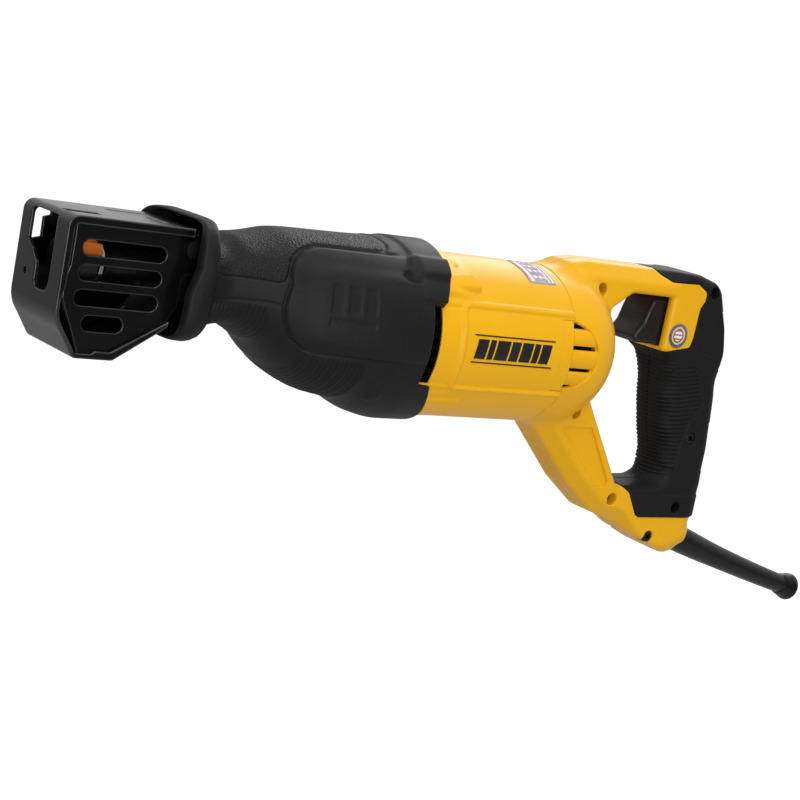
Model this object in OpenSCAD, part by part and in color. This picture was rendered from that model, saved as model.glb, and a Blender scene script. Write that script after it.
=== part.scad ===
// Corded reciprocating saw, built as separate pieces.
// +X runs from the shoe back to the handle, +Z is up and the tool's left side faces -Y.
// The origin is where the axis of the blade's stroke crosses the front face of the shoe.

/* [Shoe] */
// Width of the shoe across its rims
shoe_w = 47.2; // [46:0.2:48]
// Height of the shoe's top face above the stroke axis
shoe_top = 22; // [21.5:0.25:23]
// Depth of the shoe's bottom below the stroke axis
shoe_drop = 40.5; // [40:0.5:42]
// Sheet thickness of the shoe
shoe_t = 2; // [1.6:0.1:2.4]
// Depth of the rim that is folded round the shoe's sides
rim_w = 3.8; // [3:0.2:4.4]
// Distance between the side slots
slot_pitch = 11.1; // [10.8:0.1:11.4]
// Height of each side slot
slot_h = 7; // [6:0.5:7.5]

/* [Drive] */
// Radius of the reciprocating plunger
plunger_r = 7; // [6.6:0.1:7.2]
// Length of the blade's stroke
stroke = 28.6; // [26:0.2:28.6]
// Front end of the blade clamp with the plunger fully forward
clamp_front = 7; // [6.5:0.25:8]
// Distance of the crank gear's axis from the shoe's face
crank_x = 150; // [149.5:0.25:150.5]
// Gap left where the crank roller would run in the yoke
open_gap = 0.45; // [0.3:0.05:0.6]

/* [Motor] */
// Outer radius of the motor housing
motor_r = 42.4; // [42:0.1:42.8]
// Wall of the moulded housings
wall = 3; // [2.6:0.2:3]
// Radius of the motor shaft
shaft_r = 5; // [4.6:0.1:5]
// Radius of the armature's laminations
armature_r = 23.2; // [22:0.2:23.4]

/* [Handle] */
// Half the thickness of the handle
handle_half = 17; // [16.6:0.2:17.4]
// Thickness of the rubber overmould
grip_t = 2.6; // [2.2:0.1:2.8]
// Travel of the trigger
trigger_travel = 7; // [5:0.5:7]
// Half the width of the trigger
trigger_half = 11.5; // [11:0.1:11.5]
// Radius of the cord's bore through the strain relief
cord_r = 4.4; // [4:0.1:4.6]

/* [Hidden] */

$fn = 48;
fit_gap = 0.05;      // running clearance of shafts in their bores
loose = 0.3;         // clearance between fixed pieces that only sit together
big = 400;

// Colours
black_steel = [0.06, 0.06, 0.065];
rubber_black = [0.09, 0.09, 0.1];
yellow = [0.95, 0.68, 0.08];
steel = [0.62, 0.63, 0.65];
cast = [0.5, 0.51, 0.52];
orange = [0.85, 0.36, 0.08];
copper = [0.72, 0.4, 0.2];
dark = [0.12, 0.12, 0.13];

// Shoe
shoe_len = 62;                  // rear end of the top plate
bevel_end = [56, -23.4];        // rear end of the sloping bottom
side_y = shoe_w / 2 - 2.2;      // outer face of the recessed side plates
pivot = [64, 12.5];             // x and z of the shoe's pivot
pivot_r = 3;
slot_top_z = 8.3;               // middle of the top slot

// Drive
crank_r = stroke / 2;
yoke_x = crank_x - crank_r;     // the slot's middle with the plunger fully forward
roller_r = 6;
yoke_half = 11;
yoke_side = 22.6;
yoke_z = [-4.6, 7];
clamp_len = 21;
clamp_r = 8;
bush_r = 10;
crank_teeth = 48;
pinion_teeth = 8;
crank_pitch_r = crank_teeth / 2; // the teeth's pitch is one unit of diameter each
tooth_in = crank_pitch_r - 2;
tooth_out = crank_pitch_r + 2;
motor_z = -18.75;               // height of the motor's axis
gear_face_z = motor_z + 5.1;    // underside of the crank gear's disc
gear_disc_t = 3.2;
gear_shaft_z = -41.5;           // lower end of the crank gear's shaft
gear_top_z = gear_face_z + gear_disc_t;

// Motor
case_rear = 184;                // rear face of the gear case
housing_rear = 286;             // where the handle halves meet the motor housing
seam_step = 277.5;              // front of the handle's tongue on each side
seam_z = [-37, 1];
dome_start = 300;
dome_tip = 336.8;
shaft_front = 171.6;
shaft_rear = 312;

// Handle: points are x, z and corner radius, seen from the side
arm_top = [[290, 12, 0], [290, 21, 0], [301, 28.2, 10], [313, 30.2, 16]];
grip_rear = [[396, 30.8, 20], [414, 26.5, 12], [420.5, 12, 10], [425.5, -6, 30],
    [433.5, -38, 60], [437.5, -70, 60], [437.8, -111.5, 3]];
foot = [[435.6, -115.3, 1], [437.6, -119, 3], [436.5, -129.5, 8], [422, -136.6, 10],
    [408, -132, 30], [373, -116.4, 14], [353.5, -110.5, 16], [331, -94.5, 16],
    [293, -58, 0], [294, -40, 0]];
window_front = [[326, -4, 0], [331, 6, 4], [345, 16.2, 8], [376, 16.2, 0], [376, -13.4, 0]];
grip_front = [[383.2, -19, 6], [386.5, -38, 40], [390.4, -54, 40], [398.6, -78, 14],
    [398, -92, 6]];
window_rear = [[363.7, -93.4, 5], [346.7, -69.3, 30], [330.3, -46, 0], [318, -30, 0]];
rubber_zone = [[356, 60], [356, 36], [366, 28], [374, 24.8], [393, 25.6], [401, 21.6],
    [400.5, 16], [398, 12], [397.5, -5], [395.9, -11], [383, -13.4], [366, -13.4],
    [366, -60], [364, -84], [357.5, -85.9], [366, -92.1], [374, -97], [378.6, -104],
    [382.2, -109.6], [385, -110.9], [460, -110.9], [460, 60]];
hollow = [[332, 25.6, 2], [396, 26.2, 8], [410, 22, 6], [414.5, 8, 6], [419.5, -7, 10],
    [427, -38, 30], [430.5, -70, 30], [431, -122, 6], [421, -131, 6], [404, -125.5, 8],
    [392, -116, 6], [394, -102, 6], [404.5, -92, 4], [404.5, -79, 8], [396, -55, 20],
    [392, -38, 20], [388.5, -16, 6], [379, -12.2, 0.5], [379, 19.6, 2], [332, 19.6, 2]];
// Place of each handle screw, and where the top of its head is
screw_spots = [[319.8, 16.3, -11.5], [319.9, -52.2, -11.5], [361.1, -101, -11.5],
    [413.1, -105.1, -11.5], [407.3, 21.7, -11.5], [415.6, -64, -14], [396.6, -123, -15.2]];
screw_r = 2;
trigger_bore_x = 374.8;         // bottom of the bore that the trigger's spring sits in
switch_rod_x = trigger_bore_x + trigger_travel + 0.4;
cord_bend = [478.5, -142.8];    // where the strain relief's two straight runs meet
cord_start = [424, -123.9];
cord_end = [551, -161.7];

// Outline helpers
function unit(v) = v / norm(v);
function arc_at(before, here, after, r, steps) =
    let (u = unit(before - here), w = unit(after - here),
        half = acos(max(-1, min(1, u * w))) / 2,
        middle = here + unit(u + w) * r / sin(half),
        first = here + u * r / tan(half) - middle,
        last = here + w * r / tan(half) - middle,
        a = atan2(first.y, first.x),
        turn = (atan2(last.y, last.x) - a + 540) % 360 - 180)
    [for (i = [0:steps]) middle + r * [cos(a + turn * i / steps), sin(a + turn * i / steps)]];
function flat(p) = [p[0], p[1]];
function rounded(pts, steps = 4) =
    let (n = len(pts))
    [for (i = [0:n - 1])
        each pts[i][2] > 0
            ? arc_at(flat(pts[(i + n - 1) % n]), flat(pts[i]), flat(pts[(i + 1) % n]),
                pts[i][2], steps)
            : [flat(pts[i])]];
function shifted(pts, dx, dz) = [for (p = pts) [p[0] + dx, p[1] + dz, p[2]]];
function mirrored_plan(pts) = concat(pts, [for (i = [len(pts) - 1:-1:0]) [pts[i][0], -pts[i][1]]]);
function mirrored_plan_z(pts) = concat(pts, [for (i = [len(pts) - 1:-1:0]) [-pts[i][0], pts[i][1]]]);
function sign_pow(v, e) = sign(v) * pow(abs(v), e);

// Extrusions along each axis
module along_x(x0, x1) { translate([x0, 0, 0]) rotate([90, 0, 90]) linear_extrude(x1 - x0) children(); }
module along_y(y0, y1) { translate([0, y1, 0]) rotate([90, 0, 0]) linear_extrude(y1 - y0) children(); }
module rod_x(x0, x1, r, y = 0, z = 0) {
    translate([x0, y, z]) rotate([0, 90, 0]) cylinder(h = x1 - x0, r = r);
}
module rod_y(y0, y1, r, x, z) { translate([x, y1, z]) rotate([90, 0, 0]) cylinder(h = y1 - y0, r = r); }
module rod_z(z0, z1, r, x = 0, y = 0) { translate([x, y, z0]) cylinder(h = z1 - z0, r = r); }
module tube_x(x0, x1, ro, ri, z = 0) {
    difference() {
        rod_x(x0, x1, ro, 0, z);
        rod_x(x0 - 1, x1 + 1, ri, 0, z);
    }
}
module box(low, high) { translate(low) cube(high - low); }
module both_sides() {
    children();
    mirror([0, 1, 0]) children();
}
module left_half() { intersection() { children(); box([-big, -big, -big], [2 * big, 0, big]); } }

// A skin through rings: each is x, middle z, half width, half height and squareness
loft_sides = 36;
module loft(rings, around = loft_sides) {
    points = [for (s = rings) for (i = [0:around - 1])
        let (c = cos(360 * i / around), q = sin(360 * i / around))
        [s[0], s[2] * sign_pow(c, 2 / s[4]), s[1] + s[3] * sign_pow(q, 2 / s[4])]];
    last = len(rings) - 1;
    sides = [for (k = [0:last - 1]) for (i = [0:around - 1])
        let (j = (i + 1) % around, a = k * around, b = a + around)
        each [[a + i, b + i, b + j], [a + i, b + j, a + j]]];
    caps = [[for (i = [0:around - 1]) i], [for (i = [around - 1:-1:0]) last * around + i]];
    polyhedron(points, concat(sides, caps));
}

// A coil spring along +X with flat ends
module coil(r, wire_r, length, turns, per_turn = 12, sides = 6) {
    count = turns * per_turn;
    points = [for (k = [0:count]) for (i = [0:sides - 1])
        let (a = 360 * k / per_turn, reach = r + wire_r * cos(360 * i / sides),
            x = wire_r + (length - 2 * wire_r) * k / count + wire_r * sin(360 * i / sides))
        [x, reach * cos(a), reach * sin(a)]];
    sides_faces = [for (k = [0:count - 1]) for (i = [0:sides - 1])
        let (j = (i + 1) % sides, a = k * sides, b = a + sides)
        each [[a + i, b + j, b + i], [a + i, a + j, b + j]]];
    caps = [[for (i = [sides - 1:-1:0]) i], [for (i = [0:sides - 1]) count * sides + i]];
    polyhedron(points, concat(sides_faces, caps));
}

// ---------- Shoe ----------
shoe_outline = [[0, shoe_top, 5], [0, -24, 16], [4.7, -30.4, 20], [11.5, -shoe_drop, 3],
    [31, -shoe_drop, 4], [bevel_end.x, bevel_end.y, 0], [bevel_end.x, 0, 0],
    [shoe_len, 0, 0], [shoe_len, shoe_top, 0]];
shoe_inside = [[shoe_t, shoe_top - shoe_t, 3.5], [shoe_t, -23.4, 14], [6.6, -29.8, 16],
    [12.6, shoe_t - shoe_drop, 2], [30.4, shoe_t - shoe_drop, 3], [bevel_end.x + 1, bevel_end.y + 1.8, 0],
    [70, 0, 0], [70, shoe_top - shoe_t, 0]];
rim_inside = [[rim_w, shoe_top - rim_w, 2], [rim_w, -9, 3], [shoe_t, -15, 3], [shoe_t, -23.4, 14],
    [6.6, -29.8, 16], [12.3, shoe_t - shoe_drop + 0.4, 1], [20, shoe_t - shoe_drop + 0.4, 0.5],
    [22, rim_w - shoe_drop, 0.5], [29.6, rim_w - shoe_drop, 3], [57, -20.2, 0],
    [70, 0, 0], [70, shoe_top - rim_w, 0]];

module shoe_frame() {
    half = shoe_w / 2;
    color(black_steel) difference() {
        union() {
            difference() {
                along_y(-half, half) polygon(rounded(shoe_outline));
                along_y(-half - 1, half + 1) polygon(rounded(shoe_inside));
            }
            both_sides() difference() {
                along_y(-half, -side_y) polygon(rounded(shoe_outline));
                along_y(-half - 1, 0) polygon(rounded(rim_inside));
            }
        }
        // Opening for the blade and the clamp
        along_x(-1, shoe_t + 3) polygon(rounded([[-12, 19.5, 2], [14, 19.5, 2], [14, 5, 2],
            [9, 2, 2], [2.4, -4, 3], [2.4, -14.4, 4], [-12, -14.4, 5]]));
        rod_x(-1, shoe_t + 3, 1.6, 12.8, -9.3);
        // Slit in the top plate
        translate([12.4, -9, shoe_top - 3]) linear_extrude(6)
            polygon(rounded([[-8, -3, 1], [8, -4, 1], [8, 2, 1], [-8, 4, 1]]));
    }
}

module slot_y(x0, x1, z, h, deep) {
    both_ends = [x0 + h / 2, x1 - h / 2];
    union() {
        for (x = both_ends) rod_y(-side_y - 2, deep - side_y, h / 2, x, z);
        box([both_ends[0], -side_y - 2, z - h / 2], [both_ends[1], deep - side_y, z + h / 2]);
    }
}

// The left plate is slotted right through; the right one has shallow pressed slots and a notched front
module side_plate(front, deep) {
    color(black_steel) difference() {
        along_y(-side_y, shoe_t - side_y) polygon(concat(front, [[3.3, -14.5], [5.1, -18.9],
            [9.9, -28.7], [14.2, shoe_t - shoe_drop], [29.2, shoe_t - shoe_drop], [55.9, -20.9],
            [60, -14], [60, 0], [70, 3], [70, 18], [61.8, shoe_top - shoe_t]]));
        slot_y(9.5, 50.4, slot_top_z, slot_h, deep);
        slot_y(9.2, 49.7, slot_top_z - slot_pitch, slot_h, deep);
        slot_y(8.9, 49.7, slot_top_z - 2 * slot_pitch, slot_h, deep);
        slot_y(14.3, 34.3, slot_top_z - 3 * slot_pitch, slot_h, deep);
        rod_y(-side_y - 1, 3 - side_y, pivot_r + fit_gap, pivot.x, pivot.y);
    }
}
module shoe_side_left() {
    side_plate([[5.8, shoe_top - shoe_t], [4.9, shoe_top - shoe_t - 1.4], [4.9, 0], [3.1, -6]],
        shoe_t + 1);
}
module shoe_side_right() {
    mirror([0, 1, 0]) side_plate([[12, shoe_top - shoe_t], [12, 15.5], [8.6, 14.5], [8.8, 5.5],
        [3.4, 4]], 0.9);
}

module shoe_pivot_pin() {
    color(steel) difference() {
        rod_y(-23.4, 23.4, pivot_r, pivot.x, pivot.y);
        both_sides() difference() {
            rod_y(-22.9, -22.1, pivot_r + 1, pivot.x, pivot.y);
            rod_y(-23.5, -21, 2.2, pivot.x, pivot.y);
        }
    }
}
module pivot_clips() {
    color(steel) both_sides() difference() {
        rod_y(-22.85, -22.15, 4.6, pivot.x, pivot.y);
        rod_y(-24, -21, 2.25, pivot.x, pivot.y);
        box([pivot.x - 1.6, -24, pivot.y - 6], [pivot.x + 1.6, -21, pivot.y]);
    }
}

// ---------- Nose ----------
boot_rings = [[61.5, -1.5, 34.5, 28.3, 5], [66, -1.5, 35, 28.6, 4.6], [71, -1.8, 32.5, 27, 4],
    [76, -3.6, 25.6, 22, 3.2], [84, -3.2, 24, 19.6, 2.8], [93, -0.8, 26, 21, 2.6],
    [100, -2, 28.2, 23.2, 2.5], [108, -3.3, 30.8, 26.2, 2.4], [118, -6.6, 34, 31.9, 2.35],
    [130, -10, 37.4, 36.1, 2.3], [144, -12.6, 41, 39, 2.25], [160, -13.8, 43.8, 40.6, 2.2],
    [176, -16.7, 45, 44.2, 2.1], [190, -17.8, 45.2, 45.6, 2.05], [203, -17.6, 45.2, 45.7, 2.02]];
boot_t = 2.6;
hood_rings = [[60, -1.5, 28, 26.6, 6], [68, -1.5, 28, 26.4, 5], [72.5, -2.4, 23, 21, 4]];
neck_rings = [for (s = boot_rings) if (s[0] > 75 && s[0] < 180)
    [s[0], s[1], s[2] - boot_t, s[3] - boot_t, s[4]]];
rear_r = (motor_r + 0.1) / cos(180 / loft_sides);   // the skin's flats clear the motor housing
rear_rings = [for (x = [183, 210]) [x, motor_z, rear_r, rear_r, 2]];

module nose_boot() {
    color(rubber_black) difference() {
        loft(boot_rings);
        loft(concat(hood_rings, neck_rings, rear_rings));
        // The rear edge stands forward of the air slots on each side
        both_sides() box([188.8, -60, -38.5], [210, -25, 2.5]);
    }
}

chamber_front = 122.5;
module gear_case() {
    lug_half = 18.6;
    color(cast) difference() {
        union() {
            intersection() {
                along_y(-40, 40) polygon([[84, 9.5], [100, 13], [122, 13.5], [150, 17],
                    [case_rear, 18], [case_rear, -52], [160, -48.5], [138, -42], [130, -30],
                    [120, -24], [100, -16], [84, -11]]);
                linear_extrude(120, center = true) polygon(mirrored_plan([[84, 13.5], [100, 17],
                    [119, 22.5], [124, 25.4], [135, 27.6], [150, 30.5], [case_rear, 32]]));
                along_x(80, case_rear) polygon(mirrored_plan_z([[20, 18.5], [31, 6], [33, -12],
                    [31, -27], [14, -50], [8, -55]]));
            }
            rod_x(70.5, 86, 13.5);
            box([61, -lug_half, -12], [71, lug_half, 16.6]);
        }
        rod_x(60, chamber_front + 1, plunger_r + 0.6);
        rod_x(67.5, 79, bush_r + 0.02);
        rod_x(99, chamber_front + 1, bush_r + 0.02);
        rod_y(-40, 40, pivot_r + 0.02, pivot.x, pivot.y);
        // Yoke chamber, gear chamber and the bore for the gear's shaft
        box([chamber_front, -yoke_side - 0.8, -7.6], [179, yoke_side + 0.8, 8.5]);
        rod_z(-17.8, -7, 27.6, crank_x);
        box([163, -12, -27], [179.5, 12, -7]);
        rod_z(gear_shaft_z - 0.5, -16, 11.02, crank_x);
        rod_x(168, 200, 14, 0, motor_z);
        at_plate_screws() rod_x(180, 200, 2.25);
    }
}
module front_bush() { color(copper) tube_x(67.6, 79, bush_r, plunger_r + fit_gap); }
module rear_bush() { color(copper) tube_x(99.5, 117, bush_r, plunger_r + fit_gap); }
module shaft_seal() { color(rubber_black) tube_x(80, 83, plunger_r + 0.55, plunger_r + fit_gap); }

// ---------- Plunger and blade clamp ----------
module plunger() {
    color(steel) difference() {
        rod_x(clamp_front + clamp_len + 0.4, yoke_x - yoke_half - 0.05, plunger_r);
        // Flats for the clamp's tools, and one that clears the crank's roller
        both_sides() box([33, -9, -4], [45, -plunger_r + 1, 4]);
        box([99, -9, -9], [yoke_x, 9, yoke_z[0]]);
    }
}
module yoke() {
    slot_half = crank_r + roller_r + 0.6;
    color(steel) difference() {
        box([yoke_x - yoke_half, -yoke_side, yoke_z[0]], [yoke_x + yoke_half, yoke_side, yoke_z[1]]);
        box([yoke_x - roller_r - fit_gap, -slot_half, yoke_z[0] - 1],
            [yoke_x + roller_r + fit_gap, slot_half, 4]);
    }
}
module clamp_body() {
    color(dark) difference() {
        rod_x(clamp_front, clamp_front + clamp_len, clamp_r);
        box([clamp_front - 1, -0.8, -6.6], [clamp_front + 16, 0.8, 6.6]);
        rod_y(-clamp_r - 1, 0, 1.7, clamp_front + 5, 0);
        tube_x(24.8, 28.4, clamp_r + 1, clamp_r - 0.8);
    }
}
module clamp_lever() {
    color(orange) union() {
        tube_x(14.6, 23.6, 10.8, clamp_r + fit_gap);
        rotate([150, 0, 0]) box([14.6, 10.3, -2.6], [23.6, 13.4, 2.6]);
    }
}
module clamp_pin() { color([0.8, 0.62, 0.25]) rod_y(-clamp_r - 0.6, -0.9, 1.65, clamp_front + 5, 0); }
module clamp_spring() {
    color([0.45, 0.62, 0.5]) translate([24.9, 0, 0]) coil(clamp_r + 1.1, 0.5, 3, 2);
}
module clamp_ring() { color(steel) tube_x(28.0, 28.38, 10, plunger_r - 0.5); }

// ---------- Crank gear ----------
module crank_gear() {
    tip_z = motor_z + 3.2;
    color(steel) difference() {
        union() {
            rod_z(gear_face_z, gear_top_z, tooth_out + 0.6, crank_x);
            rod_z(motor_z + 1.4, gear_face_z + 1, 10, crank_x);
            for (i = [0:crank_teeth - 1])
                translate([crank_x, 0, 0]) rotate([0, 0, 360 * i / crank_teeth])
                    along_x(tooth_in, tooth_out) polygon([[-0.25, tip_z], [0.25, tip_z],
                        [0.65, gear_face_z], [0.65, gear_face_z + 0.5],
                        [-0.65, gear_face_z + 0.5], [-0.65, gear_face_z]]);
        }
        rod_z(gear_face_z - 30, gear_top_z + 1, 6.02, crank_x);
        rod_z(gear_face_z - 1, gear_top_z + 1, 3.52, crank_x - crank_r);
    }
}
module crank_pin() {
    color(steel) rod_z(gear_face_z + 0.2, yoke_z[0] - open_gap, 3.5, crank_x - crank_r);
}
module crank_roller() {
    color(steel) translate([crank_x - crank_r, 0, 0]) difference() {
        rod_z(gear_top_z + 0.1, yoke_z[0] - open_gap, roller_r);
        rod_z(gear_top_z - 1, yoke_z[0], 3.5 + fit_gap);
    }
}
module gear_shaft() { color(steel) rod_z(gear_shaft_z, gear_top_z, 6, crank_x); }
module gear_bearing(z0, z1) {
    color(steel) difference() {
        rod_z(z0, z1, 11, crank_x);
        rod_z(z0 - 1, z1 + 1, 6 + fit_gap, crank_x);
    }
}
module upper_gear_bearing() { gear_bearing(-27.5, -19.5); }
module lower_gear_bearing() { gear_bearing(gear_shaft_z, gear_shaft_z + 7.5); }

// ---------- Motor ----------
module end_plate() {
    color(cast) difference() {
        rod_x(case_rear + 0.1, case_rear + 10, motor_r - wall - loose, 0, motor_z);
        rod_x(case_rear + 2, case_rear + 11, 13.02, 0, motor_z);
        rod_x(case_rear - 1, case_rear + 11, shaft_r + 1.5, 0, motor_z);
        at_plate_screws() rod_x(case_rear - 1, case_rear + 11, 2.3);
        both_sides() box([case_rear + 4, -36, -36], [case_rear + 11, -29, 0]);
    }
}
module at_plate_screws() {
    for (a = [45:90:315]) translate([0, 27 * cos(a), motor_z + 27 * sin(a)]) children();
}
module end_plate_screws() {
    color(steel) at_plate_screws() union() {
        rod_x(case_rear - 3.5, case_rear + 10.1, 2.2);
        rod_x(case_rear + 10.1, case_rear + 13, 4);
    }
}
module front_bearing() { color(steel) tube_x(case_rear + 2.1, case_rear + 10, 13, shaft_r + fit_gap, motor_z); }
module rear_bearing() { color(steel) tube_x(303, 310, 11, 4 + fit_gap, motor_z); }

function pinion_outline() = [for (k = [0:pinion_teeth - 1])
    each [for (p = [[2.9, -13], [4, -9], [4.8, -4], [4.8, 4], [4, 9], [2.9, 13]])
        let (a = 90 - 360 / pinion_teeth * (k + 0.5) - p[1])
        [p[0] * cos(a), p[0] * sin(a)]]];
module armature_shaft() {
    color(steel) union() {
        translate([0, 0, motor_z]) along_x(shaft_front, shaft_front + 11.4) polygon(pinion_outline());
        rod_x(shaft_front + 11.2, 300, shaft_r, 0, motor_z);
        rod_x(300, shaft_rear, 4, 0, motor_z);
    }
}
module armature_core() {
    slots = 12;
    color([0.4, 0.4, 0.42]) difference() {
        tube_x(228, 268, armature_r, shaft_r + 0.02, motor_z);
        for (i = [0:slots - 1]) translate([0, 0, motor_z]) rotate([360 * i / slots, 0, 0])
            box([227, -1.6, 13], [269, 1.6, armature_r + 1]);
    }
}
module armature_windings() {
    slots = 12;
    color(copper) union() {
        tube_x(217.5, 227.9, 20, shaft_r + 0.02, motor_z);
        tube_x(268.1, 279, 20, shaft_r + 0.02, motor_z);
        for (i = [0:slots - 1]) translate([0, 0, motor_z]) rotate([360 * i / slots, 0, 0])
            box([227, -1.5, 13.1], [269, 1.5, 19.5]);
    }
}
module commutator() {
    bars = 24;
    color(copper) difference() {
        tube_x(281, 297, 12.5, shaft_r + 0.02, motor_z);
        for (i = [0:bars - 1]) translate([0, 0, motor_z]) rotate([360 * i / bars, 0, 0])
            box([283, -0.3, 11.5], [298, 0.3, 13]);
    }
}
module cooling_fan() {
    blades = 15;
    color(dark) union() {
        tube_x(201, 215, 9, shaft_r + 0.02, motor_z);
        tube_x(212.6, 215, 34, shaft_r + 0.02, motor_z);
        for (i = [0:blades - 1]) translate([0, 0, motor_z]) rotate([360 * i / blades, 0, 0])
            box([203, -0.8, 15], [213, 0.8, 33]);
    }
}
module fan_baffle() {
    color(dark) tube_x(216.4, 218.4, motor_r - wall - loose, 30, motor_z);
}
module field_stack() {
    color([0.45, 0.45, 0.47]) difference() {
        tube_x(225, 270, motor_r - wall - 0.1, armature_r + 0.7, motor_z);
        for (side = [-1, 1]) translate([0, 0, motor_z])
            box([224, -18.5, side * 29 - 4.5], [271, 18.5, side * 29 + 4.5]);
    }
}
module field_coils() {
    color(copper) for (side = [-1, 1]) translate([0, 0, motor_z]) difference() {
        box([219.5, -18.2, side * 29 - 4.2], [275.5, 18.2, side * 29 + 4.2]);
        box([225.5, -10, side * 29 - 6], [269.5, 10, side * 29 + 6]);
    }
}
module brush_holders() {
    color([0.75, 0.62, 0.3]) both_sides() difference() {
        box([283.5, -34, motor_z - 6], [294.5, -14, motor_z + 6]);
        box([285, -35, motor_z - 4.05], [293, -13, motor_z + 4.05]);
    }
}
module carbon_brushes() {
    color(dark) both_sides() box([285.1, -23, motor_z - 4], [292.9, -12.6, motor_z + 4]);
}
module brush_springs() {
    color(steel) both_sides() translate([289, -23.1, motor_z]) rotate([0, 0, -90]) coil(2.6, 0.5, 10.4, 5);
}

// ---------- Housings ----------
module motor_housing() {
    color(yellow) difference() {
        union() {
            tube_x(case_rear, housing_rear, motor_r, motor_r - wall, motor_z);
            // Raised frame round each side panel
            both_sides() difference() {
                intersection() {
                    rod_x(211, 277.3, motor_r + 1, 0, motor_z);
                    box([211, -60, -37.7], [277.3, -20, 1.7]);
                }
                rod_x(210, 278, motor_r - 1, 0, motor_z);
                box([213.5, -60, -35.2], [275, -20, -0.8]);
            }
        }
        both_sides() box([seam_step, -60, seam_z[0]], [300, -25, seam_z[1]]);
        both_sides() box([189.6, -60, -37.6], [197, -30, 1.6]);
    }
}
module vent_grilles() {
    bars = 6;
    color(dark) both_sides() difference() {
        intersection() {
            tube_x(189.9, 196.7, motor_r - 0.4, motor_r - wall + 0.2, motor_z);
            box([189, -60, -37.3], [198, -30, 1.3]);
        }
        for (i = [0:bars - 1]) box([191, -60, -35.6 + i * 6.1], [195.6, -20, -32.2 + i * 6.1]);
    }
}

module dome_profile(inset) {
    steps = 10;
    r = motor_r - inset;
    reach = dome_tip - dome_start - inset;
    polygon(concat([[0, 276], [r, 276]],
        [for (i = [0:steps]) [r * cos(90 * i / steps), dome_start + reach * sin(90 * i / steps)]]));
}
module dome(inset) {
    translate([0, 0, motor_z]) rotate([0, 90, 0]) rotate_extrude($fn = 64) dome_profile(inset);
}
module slab(inset, half) {
    difference() {
        along_y(-half, 0) polygon(rounded(concat(shifted(arm_top, 0, -inset),
            shifted(grip_rear, -inset, -inset), foot)));
        along_y(-half - 1, 1) polygon(rounded(concat(window_front, shifted(grip_front, inset, 0),
            shifted(window_rear, 0, -inset))));
    }
}
module rubber_skin() {
    // Everything in the rubber zone that is outside the plastic core
    intersection() {
        difference() {
            slab(0, handle_half);
            slab(grip_t, handle_half - grip_t);
        }
        along_y(-handle_half - 1, 0) polygon(rubber_zone);
    }
}
module handle_screw_holes(r, head_r, head_y) {
    for (p = screw_spots) {
        rod_y(-big, big, r, p[0], p[1]);
        rod_y(-big, head_y, head_r, p[0], p[1]);
    }
}
module handle_half_shell() {
    slot_wall = trigger_half + 0.3;
    difference() {
        union() {
            difference() {
                slab(0, handle_half);
                rubber_skin();
            }
            left_half() difference() {
                dome(0);
                difference() {
                    box([270, -60, -80], [housing_rear, 10, 40]);
                    box([seam_step + 0.1, -60, seam_z[0] + 0.1], [housing_rear + 1, -20, seam_z[1] - 0.1]);
                }
            }
        }
        // Room for the motor's rear end, the bearing and its seat
        intersection() {
            dome(wall);
            box([270, -60, -80], [303, 1, 40]);
        }
        rod_x(302, 310.2, 11.02, 0, motor_z);
        rod_x(309, 316, 6, 0, motor_z);
        // Hollow for the switch and the cord
        difference() {
            along_y(-slot_wall, 1) polygon(rounded(hollow));
            for (p = screw_spots) rod_y(-30, 5, 5, p[0], p[1]);
        }
        along_y(-slot_wall, 1) polygon([[374, 15.6], [381, 15.6], [381, -12.1], [374, -12.1]]);
        // Louvres at the back of the motor
        for (i = [0:3]) box([286.6, -60, -33.6 + 8.7 * i], [[297, 302, 302, 297][i], -25, -28.6 + 8.7 * i]);
        cord_run(8.35, 22);
    }
}
module handle_left() {
    color(yellow) difference() {
        handle_half_shell();
        handle_screw_holes(screw_r + 0.15, 3.6, -9);
    }
}
module handle_right() {
    color(yellow) difference() {
        mirror([0, 1, 0]) handle_half_shell();
        for (p = screw_spots) rod_y(-1, 12.5, screw_r + 0.05, p[0], p[1]);
    }
}
module vent_screens() {
    // Dark lining behind the louvres
    color(dark) both_sides() difference() {
        intersection() {
            tube_x(286.4, 300, motor_r - wall - 0.15, motor_r - wall - 1.4, motor_z);
            box([286, -60, -36], [301, -25, 0]);
        }
        rod_y(-60, -25, 2, 291, motor_z);
    }
}
module grip_left() {
    color(rubber_black) difference() {
        rubber_skin();
        handle_screw_holes(screw_r + 0.15, 3.6, -9);
    }
}
module grip_right() { color(rubber_black) mirror([0, 1, 0]) rubber_skin(); }

module trigger() {
    color(rubber_black) difference() {
        along_y(-trigger_half, trigger_half) polygon(rounded([[366.5, 14.6, 3], [363.4, 6, 14],
            [361.4, -1.5, 12], [356.2, -8.2, 2], [359, -11.7, 2], [386, -11.7, 1], [386, 14.6, 1]]));
        rod_x(trigger_bore_x, 387, 4.6, 0, 4);
    }
}
module trigger_spring() {
    color(steel) translate([375, 0, 4]) coil(3.6, 0.45, 18.2, 7);
}
module switch_body() {
    color(dark) union() {
        difference() {
            box([393.4, -9, -6], [409.5, 9, 18]);
            rod_y(-30, 30, 5.3, screw_spots[4][0], screw_spots[4][1]);
        }
        rod_x(switch_rod_x, 393.5, 2.2, 0, 4);
    }
}
module handle_screws() {
    color(dark) for (p = screw_spots) union() {
        rod_y(p[2], -9.05, 3.4, p[0], p[1]);
        rod_y(-9.1, 12, screw_r, p[0], p[1]);
    }
}

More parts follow.
